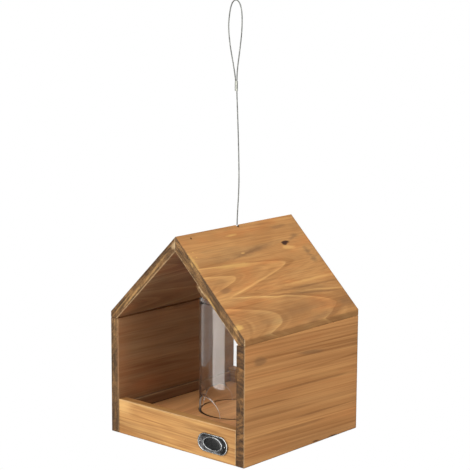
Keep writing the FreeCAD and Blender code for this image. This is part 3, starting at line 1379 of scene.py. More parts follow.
@dataclass
class House:
    """The house's main places, read from the CAD nodes, and the boards' shared sizes."""

    pitch_degrees: float = 44.3
    edge_ease: float = 0.6 * MM
    corner_degrees: float = 20.0
    roughness: float = 0.16 * MM
    lump: float = 11 * MM
    half_width: float = field(init=False)
    half_depth: float = field(init=False)
    wall_height: float = field(init=False)
    ridge_z: float = field(init=False)
    pitch: float = field(init=False)

    def __post_init__(self) -> None:
        """Read the sizes from the frame."""
        self.half_width, self.half_depth, self.wall_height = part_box("right_wall")[1]
        self.ridge_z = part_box("right_roof_panel")[1].z
        self.pitch = math.radians(self.pitch_degrees)

    def down_slope(self, side: Side) -> Vector:
        """Direction down one side of the roof."""
        return Vector((side.value * math.cos(self.pitch), 0.0, -math.sin(self.pitch)))

    def into_roof(self, side: Side) -> Vector:
        """Direction into one roof board, square to its face."""
        return Vector((-side.value * math.sin(self.pitch), 0.0, -math.cos(self.pitch)))

    def slope_length(self) -> float:
        """Length of the roof's slope from the ridge to the plumb cut."""
        return self.half_width / math.cos(self.pitch)


@dataclass
class Board:
    """One board: a block of sawn wood with eased, slightly uneven edges.

    stands says whether its lower edges are free, and so worn with painted shade, and open_top whether its
    upper ones are, and so rubbed. A face looks along an axis where that part of its normal is over SQUARE,
    and halfway over SLANTED.
    """

    SQUARE = 0.9
    SLANTED = 0.6

    name: str
    node: str
    pine: StainedPine
    house: House
    loops: int = 11
    stands: bool = True
    open_top: bool = False

    def planes(self) -> list[tuple[Vector, float]]:
        """The board's faces.

        Returns:
            Outward normals and their distances from the origin.
        """
        low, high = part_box(self.node)
        faces = []
        for axis in range(3):
            out = Vector()
            out[axis] = 1.0
            faces += [(out, high[axis]), (-out, -low[axis])]
        return faces

    def shape(self) -> bpy.types.Object:
        """The sawn block, before its edges are eased.

        Returns:
            The piece.
        """
        low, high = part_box(self.node)
        Bench.clear()
        bpy.ops.mesh.primitive_cube_add(size=1.0, location=(low + high) / 2)
        piece = Bench.new(self.name, high - low)
        with Bench.editing(piece):
            bpy.ops.mesh.subdivide(number_cuts=self.loops)
        return piece

    def keeps_sharp(self, ends: Sequence[Vector]) -> bool:
        """Whether an edge is left sharp, as a glued mitre is."""
        return False

    def edge_look(self, first: Vector, second: Vector) -> EdgeLook:
        """How the edge between two faces has aged.

        Args:
            first, second: The faces' outward normals.

        Returns:
            Rubbed on front edges that look right, lie under the roof or are open above; worn, with painted
            shade, at the other ends and below.
        """
        pair = (first, second)
        if any(out.y < -self.SQUARE for out in pair):
            is_right = any(out.x > self.SQUARE for out in pair)
            is_under = any(abs(out.x) > self.SLANTED and out.z < -self.SLANTED for out in pair)
            is_open = self.open_top and any(out.z > self.SQUARE for out in pair)
            return EdgeLook.RUBBED if is_right or is_under or is_open else EdgeLook.WORN
        is_rear = any(out.y > self.SQUARE for out in pair)
        is_low = self.stands and any(out.z < -self.SQUARE for out in pair)
        return EdgeLook.WORN if is_rear or is_low else EdgeLook.PLAIN

    def arrises(self) -> list[Arris]:
        """The board's edges, for its finish.

        Returns:
            One for each two faces that aren't parallel.
        """
        found = []
        for pair in combinations(self.planes(), 2):
            normals = [normal for normal, _ in pair]
            if abs(normals[0].dot(normals[1])) < self.SQUARE:
                faces = [(tuple(normal), offset) for normal, offset in pair]
                found.append(Arris(*faces, self.edge_look(*normals)))
        return found

    def machine(self, piece: bpy.types.Object) -> None:
        """Cut the board's holes and grooves, once its edges are eased."""

    def ease(self, piece: bpy.types.Object) -> None:
        """Round the sanded edges and make the faces a little uneven.

        Args:
            piece: The sawn block.
        """
        mesh = piece.data
        weights = mesh.attributes.new("bevel_weight_edge", "FLOAT", "EDGE")
        corner = math.radians(self.house.corner_degrees)
        normals: dict[int, list[Vector]] = {}
        for face in mesh.polygons:
            for index in face.loop_indices:
                normals.setdefault(mesh.loops[index].edge_index, []).append(face.normal.copy())
        for edge in mesh.edges:
            ends = [mesh.vertices[i].co for i in edge.vertices]
            facing = normals[edge.index]
            is_corner = len(facing) == 2 and facing[0].angle(facing[1]) > corner
            weights.data[edge.index].value = float(is_corner and not self.keeps_sharp(ends))
        Bench.modify(piece, "BEVEL", limit_method="WEIGHT", width=self.house.edge_ease, segments=3,
                     use_clamp_overlap=False)
        Bench.roughen(piece, f"{self.name}_unevenness", self.house.lump, self.house.roughness, 1.0)

    def build(self) -> None:
        """Model and dress the board."""
        piece = self.shape()
        self.ease(piece)
        self.machine(piece)
        Bench.smooth(piece)
        Bench.finish(piece, self.pine.material(self.arrises()), Body.HOUSE, Slot.WOOD, self.node)


@dataclass
class RoofBoard(Board):
    """A roof board: mitred at the ridge, plumb at the eave, and seated level on its wall.

    torn lists lumps of torn fibre, each by its middle and half its size down the slope, into the board and
    along it, in millimetres. loop_span is the share of the slope that has loops across it.
    """

    side: Side = Side.RIGHT
    thickness: float = 10.0 * MM
    margin: float = 20.0 * MM
    hole_y: float = 2.0 * MM
    hole_radius: float = 2.0 * MM
    brad_y: float = 66.0 * MM
    brad_pit_radius: float = 1.05 * MM
    brad_pit_depth: float = 1.2 * MM
    stands: bool = False
    loop_span: float = 0.88
    torn: tuple[tuple[Triple, Triple], ...] = ()
    torn_lump: float = 2.2 * MM
    torn_depth: float = 2.0 * MM
    torn_level: float = 0.6

    def planes(self) -> list[tuple[Vector, float]]:
        """The board's faces.

        Returns:
            Outward normals and their distances from the origin.
        """
        house = self.house
        out = -house.into_roof(self.side)
        ridge = Vector((0.0, 0.0, house.ridge_z))
        sideways = Vector((self.side.value, 0.0, 0.0))
        return [
            (out, out.dot(ridge)),
            (-out, self.thickness - out.dot(ridge)),
            (sideways, house.half_width),
            (-sideways, 0.0),
            (-Vector(UP), -house.wall_height),
            (Vector(BACK), house.half_depth),
            (-Vector(BACK), house.half_depth),
        ]

    def shape(self) -> bpy.types.Object:
        """A slab on the slope, cut at the mitre, the eave and the seat, with loops for its unevenness.

        Returns:
            The piece.
        """
        house, sign = self.house, self.side.value
        down, inwards = house.down_slope(self.side), house.into_roof(self.side)
        length = house.slope_length()
        ridge = Vector((0.0, 0.0, house.ridge_z))
        middle = ridge + down * length / 2 + inwards * self.thickness / 2
        Bench.clear()
        bpy.ops.mesh.primitive_cube_add(
            size=1.0, location=middle, rotation=(0.0, sign * house.pitch, 0.0))
        piece = Bench.new(self.name, (length + 2 * self.margin, 2 * house.half_depth, self.thickness))
        sideways = Vector((sign, 0.0, 0.0))
        with Bench.editing(piece):
            Bench.slice(Vector(), -sideways, clear=True)
            Bench.slice(sideways * house.half_width, sideways, clear=True)
            Bench.slice(Vector((0.0, 0.0, house.wall_height)), -Vector(UP), clear=True)
            for step in range(1, self.loops + 1):
                share = step / (self.loops + 1)
                Bench.slice(ridge + down * length * share * self.loop_span, down, clear=False)
                across = Vector((0.0, house.half_depth * (2 * share - 1), 0.0))
                Bench.slice(across, Vector(BACK), clear=False)
        return piece

    def keeps_sharp(self, ends: Sequence[Vector]) -> bool:
        """Whether an edge lies on the mitre."""
        return all(abs(end.x) < WELD for end in ends)

    def machine(self, piece: bpy.types.Object) -> None:
        """Drill the cable's hole through the ridge and the front brad's pit; the rear one is filled.

        Args:
            piece: The eased board.
        """
        house = self.house
        top = Vector((0.0, self.hole_y, house.ridge_z + self.margin))
        Bench.drill(piece, top, -Vector(UP), self.hole_radius, 3 * self.margin)
        if self.side is Side.RIGHT:
            down, inwards = house.down_slope(self.side), house.into_roof(self.side)
            start = Vector((0.0, -self.brad_y, house.ridge_z)) + down * self.thickness / 2
            Bench.drill(piece, start - inwards * self.brad_pit_depth, inwards, self.brad_pit_radius,
                        2 * self.brad_pit_depth)
        for middle, half_size in self.torn:
            self._tear(piece, middle, half_size)

    def _tear(self, piece: bpy.types.Object, middle: Triple, half_size: Triple) -> None:
        """Leave a ragged lump of torn fibre on the board.

        Args:
            piece: The machined board.
            middle, half_size: As in torn.
        """
        house, sign = self.house, self.side.value
        down, inwards = house.down_slope(self.side), house.into_roof(self.side)
        place = Vector((0.0, middle[2] * MM, house.ridge_z)) + (down * middle[0] + inwards * middle[1]) * MM
        Bench.clear()
        bpy.ops.mesh.primitive_ico_sphere_add(
            subdivisions=5, radius=MM, location=place, rotation=(0.0, sign * house.pitch, 0.0))
        lump = Bench.new("torn_fibre", (half_size[0], half_size[2], half_size[1]))
        Bench.roughen(lump, "torn_fibre_lumps", self.torn_lump, self.torn_depth, self.torn_level)
        Bench.join(piece, lump)


@dataclass
class Batten(Board):
    """A strip along a wall's foot."""

    loops: int = 5

    def edge_look(self, first: Vector, second: Vector) -> EdgeLook:
        """How the edge between two faces has aged.

        Args:
            first, second: The faces' outward normals.

        Returns:
            Rubbed along the top; worn along the floor, with painted shade in the gap there.
        """
        heights = [out.z for out in (first, second)]
        if max(heights) > self.SQUARE:
            return EdgeLook.RUBBED
        return EdgeLook.WORN if min(heights) < -self.SQUARE else EdgeLook.PLAIN


@dataclass
class TrayFloor(Board):
    """The floor board, with the round groove that the tube stands in."""

    groove_clearance: float = 0.5 * MM
    tube_wall: float = 1.5 * MM

    def machine(self, piece: bpy.types.Object) -> None:
        """Cut the ring groove.

        Args:
            piece: The eased board.
        """
        tube_low, tube_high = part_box("silo_tube")
        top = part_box(self.node)[1].z
        height = 2 * (top - tube_low.z)
        Bench.clear()
        bpy.ops.mesh.primitive_cylinder_add(
            vertices=160, radius=tube_high.x + self.groove_clearance, depth=height, end_fill_type="NOTHING",
            location=(0.0, 0.0, tube_low.z + height / 2))
        ring = Bench.new("groove_cutter")
        Bench.modify(ring, "SOLIDIFY", thickness=self.tube_wall + 2 * self.groove_clearance, offset=-1.0)
        Bench.cut(piece, ring)


@dataclass
class SeedTube:
    """The clear tube: a thin wall on a circle, with arched outlets at its foot."""

    wall: float = 1.5 * MM
    arch_radius: float = 17.7 * MM
    arch_count: int = 4
    arch_turn: float = -13.7
    arch_columns: int = 32
    pillar_columns: int = 10
    rows: int = 28
    leg_rows: int = 2
    rim_round: float = 0.55 * MM
    round_share: float = 0.97
    ground_side: Triple = (0.74, 0.67, 0.0)
    # painted highlight: cut edges that look left and forwards get the pale sawn finish, so they show bright
    pale_side_below: float = -0.12
    ground: CutEdge = CutEdge("clear_tube_ground_edge", (0.5, 0.47, 0.42), (0.64, 0.6, 0.54), 0.35, 0.95)
    sawn: CutEdge = CutEdge("clear_tube_pale_lit_edge", (0.86, 0.87, 0.85), (0.96, 0.965, 0.95), 0.1, 0.15)

    def build(self) -> None:
        """Wrap a grid into the tube, give it legs and thickness, round its edges and dress it."""
        low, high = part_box("silo_tube")
        radius = high.x
        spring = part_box("floor_board")[1].z
        columns = self._columns(radius, spring)
        Bench.clear()
        bpy.ops.mesh.primitive_grid_add(x_subdivisions=len(columns) - 1, y_subdivisions=self.rows, size=1.0)
        piece = Bench.new("seed_tube")
        for vertex in piece.data.vertices:
            column = round((vertex.co.x + 0.5) * (len(columns) - 1))
            share = vertex.co.y + 0.5
            angle, foot = columns[column]
            height = foot + (high.z - foot) * share
            vertex.co = (radius * math.sin(angle), -radius * math.cos(angle), height)
        self._legs(piece, low.z, spring)
        Bench.close(piece)
        Bench.modify(piece, "SOLIDIFY", thickness=self.wall, offset=-1.0, use_even_offset=True)
        Bench.round_edges(piece, degrees=50.0, width=self.rim_round)
        Bench.smooth(piece, degrees=40.0)
        piece.visible_shadow = False
        Bench.finish(piece, ClearGlass().material(), Body.SILO, Slot.GLASS, "silo_tube")
        rim = high.z - self.wall
        for edge in (self.ground, self.sawn):
            Bench.dress_part(piece, edge.material(),
                             lambda face: face.center.z < rim and self._edge_at(face) is edge)

    def _edge_at(self, face: bpy.types.MeshPolygon) -> CutEdge | None:
        """The kind of cut edge that a face is on.

        Args:
            face: A face of the tube.

        Returns:
            Sawn, pale as painted highlight, on the arches' sides that look left and forwards; ground on other
            edges; None on the wall's round faces.
        """
        outwards = Vector((face.center.x, face.center.y, 0.0)).normalized()
        radial = face.normal.dot(outwards)
        if abs(radial) >= self.round_share:
            return None
        along_edge = face.normal - outwards * radial
        return self.sawn if along_edge.dot(Vector(self.ground_side)) < self.pale_side_below else self.ground

    def _columns(self, radius: float, spring: float) -> list[tuple[float, float]]:
        """The grid's columns: each one's angle from the front, and the height of its foot.

        Args:
            radius: The tube's outer radius.
            spring: The height where the arches start.

        Returns:
            The columns, once round the tube, the first one again at the end.
        """
        half_arch = math.asin(self.arch_radius / radius)
        pitch = 2 * math.pi / self.arch_count
        columns = []
        for arch in range(self.arch_count):
            middle = math.radians(self.arch_turn) + arch * pitch
            for step in range(self.arch_columns + 1):
                lean = math.pi * (step / self.arch_columns - 0.5)
                angle = middle + math.asin(self.arch_radius * math.sin(lean) / radius)
                columns.append((angle, spring + self.arch_radius * max(0.0, math.cos(lean))))
            for step in range(1, self.pillar_columns):
                share = step / self.pillar_columns
                columns.append((middle + half_arch + (pitch - 2 * half_arch) * share, spring))
        first_angle, first_foot = columns[0]
        return columns + [(first_angle + 2 * math.pi, first_foot)]

    def _legs(self, piece: bpy.types.Object, bottom: float, spring: float) -> None:
        """Draw the edges between the arches down to the groove's bottom.

        Args:
            piece: The wrapped grid.
            bottom: The tube's lowest height.
            spring: The height where the arches start.
        """
        with Bench.editing(piece):
            Bench.pick(piece, Pick.EDGE, lambda edge: all(abs(v.co.z - spring) < NEAR for v in edge.verts))
            for _ in range(self.leg_rows):
                bpy.ops.mesh.extrude_edges_move(
                    TRANSFORM_OT_translate={"value": (0.0, 0.0, (bottom - spring) / self.leg_rows)})


@dataclass
class Badge:
    """The bare oblong badge: rimmed plate, oval ring, dark enamel and two domed pins."""

    base: float = 1.0 * MM
    relief: float = 0.6 * MM
    rim: float = 1.5 * MM
    ring_width: float = 24.0 * MM
    ring_height: float = 13.6 * MM
    ring: float = 1.25 * MM
    segments: int = 96
    rim_flat: float = 0.8
    plate_round: float = 0.3 * MM
    ring_round: float = 0.25 * MM
    field_depth: float = 0.8
    field_facing: float = 0.7
    dome_foot: float = 0.4
    dome_rises: Triple = (0.3, 0.2, 0.1)
    dome_step: float = 0.07
    shank: float = 0.55
    shank_top: float = 0.5
    head_overhang: float = 0.45
    head_side: float = 0.6
    head_steps: tuple[tuple[float, float], ...] = ((0.3, 0.3), (0.35, 0.1))

    def build(self) -> None:
        """Model and dress the badge."""
        chrome = Metal("badge_chrome", srgb(186, 188, 190), srgb(112, 115, 118), 0.2).material()
        plate = self._plate()
        Bench.finish(plate, chrome, Body.HOUSE, Slot.PLATE, "badge_plate")
        sunk = Metal("badge_field", srgb(88, 88, 90), srgb(30, 31, 33), 0.3).material()
        floor_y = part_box("badge_plate")[0].y + self.relief * self.field_depth
        Bench.dress_part(
            plate, sunk, lambda face: face.center.y > floor_y and face.normal.y < -self.field_facing)
        Bench.finish(self._enamel(), Enamel().material(), Body.HOUSE, Slot.ENAMEL, "badge_inlay")
        steel = Metal("pin_steel", srgb(214, 214, 212), srgb(160, 161, 162), 0.22).material()
        Bench.finish(self._pins(), steel, Body.HOUSE, Slot.STEEL, "badge_pins")

    def _oblong(self, name: str) -> bpy.types.Object:
        """A flat outline with half-round ends at the plate's back, facing forwards.

        Args:
            name: The piece's name.

        Returns:
            The piece.
        """
        low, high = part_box("badge_plate")
        middle = (low + high) / 2
        radius = (high.z - low.z) / 2
        stretch = (high.x - low.x) / 2 - radius
        Bench.clear()
        bpy.ops.mesh.primitive_circle_add(
            vertices=self.segments, radius=radius, fill_type="NGON",
            location=(middle.x, high.y, middle.z), rotation=FACING_FRONT)
        piece = Bench.new(name)
        with Bench.editing(piece):
            for sign in (-1, 1):
                Bench.pick(piece, Pick.VERT, lambda v: sign * (v.co.x - middle.x) > NEAR)
                bpy.ops.transform.translate(value=(sign * stretch, 0.0, 0.0))
        return piece

    def _plate(self) -> bpy.types.Object:
        """The plate with its raised rim and oval ring.

        Returns:
            The piece.
        """
        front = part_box("badge_plate")[0].y
        plate = self._oblong("badge_plate_chrome")
        with Bench.editing(plate):
            Bench.extrude(self.base + self.relief)
            Bench.pick(plate, Pick.FACE, lambda f: f.calc_center_median().y < front + NEAR)
            bpy.ops.mesh.inset(thickness=self.rim * self.rim_flat)
            Bench.step(self.rim * (1.0 - self.rim_flat), -self.relief)
        Bench.close(plate)
        Bench.round_edges(plate, degrees=30.0, width=self.plate_round)
        Bench.join(plate, self._ring())
        Bench.smooth(plate)
        return plate

    def _ring(self) -> bpy.types.Object:
        """The raised oval ring.

        Returns:
            The piece.
        """
        low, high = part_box("badge_plate")
        middle = (low + high) / 2
        Bench.clear()
        bpy.ops.mesh.primitive_cylinder_add(
            vertices=self.segments, radius=0.5, depth=1.0, end_fill_type="NOTHING",
            location=(middle.x, low.y + self.relief / 2, middle.z), rotation=FACING_FRONT)
        ring = Bench.new("badge_ring", (self.ring_width, self.ring_height, self.relief))
        Bench.modify(ring, "SOLIDIFY", thickness=self.ring, offset=-1.0, use_even_offset=True)
        Bench.close(ring)
        Bench.round_edges(ring, degrees=40.0, width=self.ring_round)
        return ring

    def _enamel(self) -> bpy.types.Object:
        """The dark oval, a little domed towards its middle.

        Returns:
            The piece.
        """
        low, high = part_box("badge_inlay")
        middle, size = (low + high) / 2, high - low
        Bench.clear()
        bpy.ops.mesh.primitive_circle_add(
            vertices=self.segments, radius=0.5, fill_type="NGON", location=(middle.x, high.y, middle.z),
            rotation=FACING_FRONT)
        piece = Bench.new("badge_enamel", (size.x, size.z, 1.0))
        with Bench.editing(piece):
            Bench.extrude(size.y * self.dome_foot)
            for rise in self.dome_rises:
                Bench.step(size.z * self.dome_step, size.y * rise)
        Bench.close(piece)
        Bench.smooth(piece, degrees=50.0)
        return piece

    def _pins(self) -> bpy.types.Object:
        """Two pins with domed heads.

        Returns:
            The piece.
        """
        low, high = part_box("badge_pins")
        radius = (high.z - low.z) / 2
        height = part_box("badge_inlay")[1].y - low.y
        heads = []
        for x in (low.x + radius, high.x - radius):
            Bench.clear()
            bpy.ops.mesh.primitive_cylinder_add(
                vertices=32, radius=radius * self.shank, depth=high.y - low.y - height * self.shank_top,
                location=(x, (high.y + low.y + height * self.shank_top) / 2, (low.z + high.z) / 2),
                rotation=FACING_FRONT)
            pin = Bench.new("badge_pin")
            front = min(v.co.y for v in pin.data.vertices)
            with Bench.editing(pin):
                Bench.pick(pin, Pick.FACE, lambda f: f.calc_center_median().y < front + NEAR)
                Bench.extrude(-height * self.shank_top)
                bpy.ops.mesh.inset(thickness=-radius * self.head_overhang, use_outset=False)
                Bench.extrude(height * self.head_side)
                for inset, rise in self.head_steps:
                    Bench.step(radius * inset, height * rise)
            Bench.close(pin)
            heads.append(pin)
        pair, other = heads
        Bench.join(pair, other)
        pair.name = pair.data.name = "badge_pin_pair"
        Bench.smooth(pair, degrees=50.0)
        return pair


@dataclass
class Hanger:
    """The hanging cable: one line up from the ridge, through the crimped sleeve, round the loop and back.

    The routes are (right, up) in millimetres from the bend at the ridge, and from the sleeve's right bore.
    The sleeve's presses lie in press_span of its length and take press_depth of its depth, and between them
    it is press_spread narrower.
    """

    cable: float = 1.2 * MM
    plane_y: float = 2.0 * MM
    pivot_drop: float = 0.1 * MM
    sleeve_length: float = 9.5 * MM
    sleeve_round: float = 0.35 * MM
    sleeve_bands: int = 24
    presses: int = 3
    press_span: tuple[float, float] = (0.12, 0.88)
    press_depth: float = 0.28
    press_spread: float = 0.05
    strands: int = 6
    strand_share: float = 0.38
    lay_length: float = 9.0 * MM
    real_length: float = 0.306
    free_route: tuple[tuple[float, float], ...] = (
        (0.0, 0.0), (0.5, 13.0), (2.2, 36.0), (1.95, 60.0), (1.0, 84.0), (-0.15, 108.0), (-1.2, 127.2),
    )
    loop_route: tuple[tuple[float, float], ...] = (
        (0.0, 0.0), (0.4, 10.5), (3.8, 30.5), (6.1, 47.5), (6.1, 63.0), (4.2, 70.4), (0.9, 74.9),
        (-4.2, 74.8), (-7.5, 70.2), (-9.5, 62.5), (-11.0, 49.5), (-8.7, 32.5), (-4.4, 15.0), (-1.22, 0.0),
    )

    def build(self) -> None:
        line = self._centreline()
        cable = self._strands(line)
        steel = Metal("cable_steel", srgb(162, 163, 159), srgb(118, 120, 117), 0.55, (700.0, 700.0, 700.0))
        Bench.finish(cable, steel.material(), Body.HANGER, Slot.STEEL, "hanger_cable", "hanger_loop")
        sleeve = self._sleeve()
        crimp = Metal(
            "crimp_aluminium", srgb(180, 182, 175), srgb(128, 130, 125), 0.45, (500.0, 500.0, 200.0))
        Bench.finish(sleeve, crimp.material(), Body.HANGER, Slot.CRIMP, "hanger_ferrule")

    def _route(self) -> list[Vector]:
        """The route's points in the frame, with the tail down the sleeve's left-hand bore.

        Returns:
            The points.
        """
        pivot = Vector((0.0, self.plane_y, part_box("right_roof_panel")[1].z - self.pivot_drop))
        free = [pivot + Vector((right * MM, 0.0, up * MM)) for right, up in self.free_route]
        bore_top = free[-1] + Vector((0.0, 0.0, self.sleeve_length))
        loop = [bore_top + Vector((right * MM, 0.0, up * MM)) for right, up in self.loop_route]
        tail = loop[-1] - Vector((0.0, 0.0, self.sleeve_length - self.cable / 2))
        return free + loop + [tail]

    def _centreline(self) -> list[Vector]:
        """Points along the cable's smooth line.

        Returns:
            The points, close together.
        """
        data = bpy.data.curves.new("cable_route", "CURVE")
        data.dimensions = "3D"
        data.resolution_u = 24
        spline = data.splines.new("NURBS")
        route = self._route()
        spline.points.add(len(route) - 1)
        for point, place in zip(spline.points, route):
            point.co = (*place, 1.0)
        spline.order_u = 3
        spline.use_endpoint_u = True
        guide = Bench.place("cable_route", data)
        bpy.context.view_layer.update()
        traced = bpy.data.meshes.new_from_object(guide)
        line = [vertex.co.copy() for vertex in traced.vertices]
        bpy.data.meshes.remove(traced)
        bpy.data.objects.remove(guide)
        return line

    def _strands(self, line: Sequence[Vector]) -> bpy.types.Object:
        """Strands twisted round the cable's line.

        Args:
            line: Points along the line, which lies in an upright plane.

        Returns:
            The piece.
        """
        strand_radius = self.strand_share * self.cable / 2
        circle_radius = self.cable / 2 - strand_radius
        data = bpy.data.curves.new("hanging_cable", "CURVE")
        data.dimensions = "3D"
        data.bevel_depth = strand_radius
        data.bevel_resolution = 1
        data.use_fill_caps = True
        side = Vector(BACK)
        for strand in range(self.strands):
            spline = data.splines.new("POLY")
            spline.points.add(len(line) - 1)
            travelled = 0.0
            for index, place in enumerate(line):
                before, after = line[max(0, index - 1)], line[min(len(line) - 1, index + 1)]
                travelled += (place - before).length
                outwards = (after - before).normalized().cross(side)
                turn = 2 * math.pi * (travelled / self.lay_length + strand / self.strands)
                offset = (side * math.cos(turn) + outwards * math.sin(turn)) * circle_radius
                spline.points[index].co = (*(place + offset), 1.0)
        Bench.take(Bench.place("hanging_cable", data))
        bpy.ops.object.convert(target="MESH")
        cable = bpy.context.active_object
        Bench.smooth(cable, degrees=60.0)
        return cable

    def _sleeve(self) -> bpy.types.Object:
        """The crimped sleeve: an oval tube with rolled ends and three pressed bands.

        Returns:
            The piece.
        """
        low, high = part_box("hanger_ferrule")
        middle, size = (low + high) / 2, high - low
        Bench.clear()
        bpy.ops.mesh.primitive_cylinder_add(vertices=48, radius=0.5, depth=1.0, location=middle)
        sleeve = Bench.new("crimp_sleeve", size)
        with Bench.editing(sleeve):
            for step in range(1, self.sleeve_bands):
                height = low.z + size.z * step / self.sleeve_bands
                Bench.slice(Vector((0.0, 0.0, height)), Vector(UP), clear=False)
        for vertex in sleeve.data.vertices:
            along = (vertex.co.z - low.z) / size.z
            press = 0.0
            if self.press_span[0] < along < self.press_span[1]:
                press = max(0.0, math.cos(2 * math.pi * self.presses * (along - 0.5))) ** 2
            vertex.co.y = middle.y + (vertex.co.y - middle.y) * (1.0 - self.press_depth * press)
            vertex.co.x = middle.x + (vertex.co.x - middle.x) * (1.0 - self.press_spread * (1.0 - press))
        Bench.round_edges(sleeve, degrees=60.0, width=self.sleeve_round, segments=4)
        Bench.smooth(sleeve, degrees=50.0)
        return sleeve


class HiddenFittings:
    """CAD nodes that keep their shape and get a finish: dowels, brads and what holds the cable below."""

    def build(self) -> None:
        """Dress the nodes."""
        steel = Metal("washer_steel", srgb(186, 187, 186), srgb(128, 130, 130), 0.34).material()
        crimp = Metal("stop_aluminium", srgb(200, 200, 197), srgb(148, 149, 147), 0.36).material()
        browned = Metal("browned_brad", srgb(110, 76, 48), srgb(70, 46, 28), 0.6).material()
        upright = TurnedBeech("dowel_upright", UP).material()
        level = TurnedBeech("dowel_level", RIGHT).material()
        finishes = {
            "hanger_washer": steel,
            "cable_root": steel,
            "hanger_stop": crimp,
            "ridge_brads": browned,
        }
        for side in ("left", "right"):
            finishes[f"{side}_roof_dowels"] = upright
            finishes[f"{side}_floor_dowels"] = level
            finishes[f"{side}_rail_dowels"] = level
        for name, material in finishes.items():
            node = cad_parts[name]
            node.data.materials.clear()
            node.data.materials.append(material)
            LOG.info("%s: kept, dressed in %s", name, material.name)


class Joinery:
    """The seven boards and two battens, each with its own grain."""

    TORN = (((56.0, 10.8, -80.6), (10.6, 4.4, 2.9)),)

    def __init__(self, house: House) -> None:
        """Keep the house that the boards belong to."""
        self.house = house

    def boards(self) -> list[Board]:
        """The boards with their grain.

        Returns:
            The boards in building order.
        """
        house = self.house
        return [
            RoofBoard("right_roof_board", "right_roof_panel", self._right_roof(), house, side=Side.RIGHT,
                      torn=self.TORN),
            RoofBoard("left_roof_board", "left_roof_panel", self._left_roof(), house, side=Side.LEFT),
            Board("right_wall_board", "right_wall", self._right_wall(), house),
            Board("left_wall_board", "left_wall", self._left_wall(), house),
            TrayFloor("tray_floor_board", "floor_board", self._floor(), house),
            Batten("left_batten_strip", "left_batten", self._batten(Side.LEFT), house),
            Batten("right_batten_strip", "right_batten", self._batten(Side.RIGHT), house),
            Board("front_rail_board", "front_rail", self._rail(End.FRONT), house, open_top=True),
            Board("rear_rail_board", "rear_rail", self._rail(End.REAR), house, open_top=True),
        ]

    def _roof_space(self, side: Side) -> BoardSpace:
        """A roof board's space: down the slope, into the board, and along the ridge.

        Args:
            side: The board's side.

        Returns:
            The space.
        """
        house = self.house
        down, inwards = tuple(house.down_slope(side)), tuple(house.into_roof(side))
        return BoardSpace((0.0, 0.0, house.ridge_z), down, inwards, BACK)

    def _right_roof(self) -> StainedPine:
        """The show board: two hearts with long tongues, a knot, smears and a torn corner.

        Returns:
            Its finish.
        """
        shade, smear, dusk = srgb(120, 82, 48), srgb(134, 98, 64), srgb(108, 82, 58)
        pale, straw, raw, knot = srgb(216, 166, 100), srgb(212, 168, 96), srgb(112, 84, 54), srgb(66, 38, 22)
        marks = (
            Mark(80.6, 36.0, 1.8, 72.0, shade, 0.6, lean=0.03, softness=0.9),
            Mark(88.0, 36.0, 1.7, 78.0, shade, 0.6, lean=0.126, softness=0.9),
            Mark(74.8, 46.0, 2.0, 58.0, pale, 0.6),
            Mark(88.5, 60.0, 1.2, 48.0, pale, 0.55, lean=0.137),
            Mark(51.0, 10.0, 4.6, 24.0, pale, 0.4, softness=1.0),
            Mark(65.3, -24.0, 1.6, 60.0, pale, 0.5, lean=-0.219),
            # these two darken the lower part of the slope along nearly the board's whole length
            Mark(104.0, 0.0, 6.0, 76.0, smear, 0.25, softness=1.0),
            Mark(102.0, 0.0, 26.0, 140.0, smear, 0.2, softness=1.0),
            Mark(31.5, -4.0, 4.8, 58.0, smear, 0.6, lean=-0.09, softness=0.9),
            Mark(31.6, -4.0, 2.4, 34.0, shade, 0.45, lean=-0.15, softness=0.9),
            Mark(31.6, -15.0, 1.3, 4.0, pale, 0.7),
            Mark(43.0, -34.0, 3.2, 34.0, straw, 0.5, lean=0.09),
            Mark(66.4, -67.0, 3.4, 11.0, smear, 0.6),
            Mark(115.0, 30.0, 5.0, 50.0, smear, 0.55, lean=-0.06, softness=1.0, ragged=0.3),
            Mark(100.0, 20.0, 9.0, 34.0, smear, 0.2, softness=1.0),
            Mark(107.0, 74.0, 10.0, 18.0, smear, 0.55, softness=1.0, ragged=0.3),
            Mark(121.0, 0.0, 4.4, 140.0, shade, 0.3, depth=2.2, half_depth=0.9, dip=1.02, softness=0.4,
                 ragged=0.1),
            Mark(35.5, 49.0, 3.2, 12.0, pale, 0.75, lean=0.16),
            Mark(29.3, 49.4, 2.1, 8.0, knot, 1.0, ragged=0.5, softness=0.5, push=-2.0),
            Mark(30.2, 46.6, 2.9, 4.2, knot, 0.95, ragged=0.5, softness=0.5),
            Mark(23.9, 67.0, 3.4, 10.0, dusk, 0.5, softness=1.0),
            Mark(27.0, 60.0, 2.6, 10.0, smear, 0.5, lean=-0.3, softness=1.0),
            Mark(44.0, 69.5, 8.0, 6.0, dusk, 0.55, softness=1.0, ragged=0.8),
            Mark(54.0, 71.0, 6.0, 6.0, dusk, 0.5, softness=1.0, ragged=0.8),
            Mark(10.6, 54.0, 2.6, 14.0, smear, 0.5),
            Mark(10.4, -14.0, 1.8, 10.0, straw, 0.6, ragged=0.7),
            Mark(105.0, -80.0, 4.0, 7.0, straw, 0.85, ragged=0.6),
            Mark(26.0, -74.4, 1.0, 1.4, straw, 0.8),
            Mark(20.0, -75.0, 1.0, 1.4, straw, 0.7),
            Mark(55.5, -82.0, 12.0, 5.0, raw, 0.95, depth=12.0, half_depth=5.0, ragged=0.9),
            Mark(70.0, -83.5, 12.0, 2.0, straw, 0.5, depth=8.3, half_depth=1.5, ragged=0.6),
            Mark(32.0, -81.6, 13.0, 3.4, straw, 0.55, ragged=1.0),
        )
        return StainedPine(
            "right_roof_pine", self._roof_space(Side.RIGHT),
            (Heart(50.8, 7.0, 31.8, 0.06), Heart(104.6, 16.0, 62.0, -0.06, reach=60.0),
             Heart(105.5, 27.0, -20.0, inner=1.0)), seed=1.0, marks=marks,
            tint=(1.02, 1.04, 1.09), end_tint=(1.18, 1.02, 0.86))

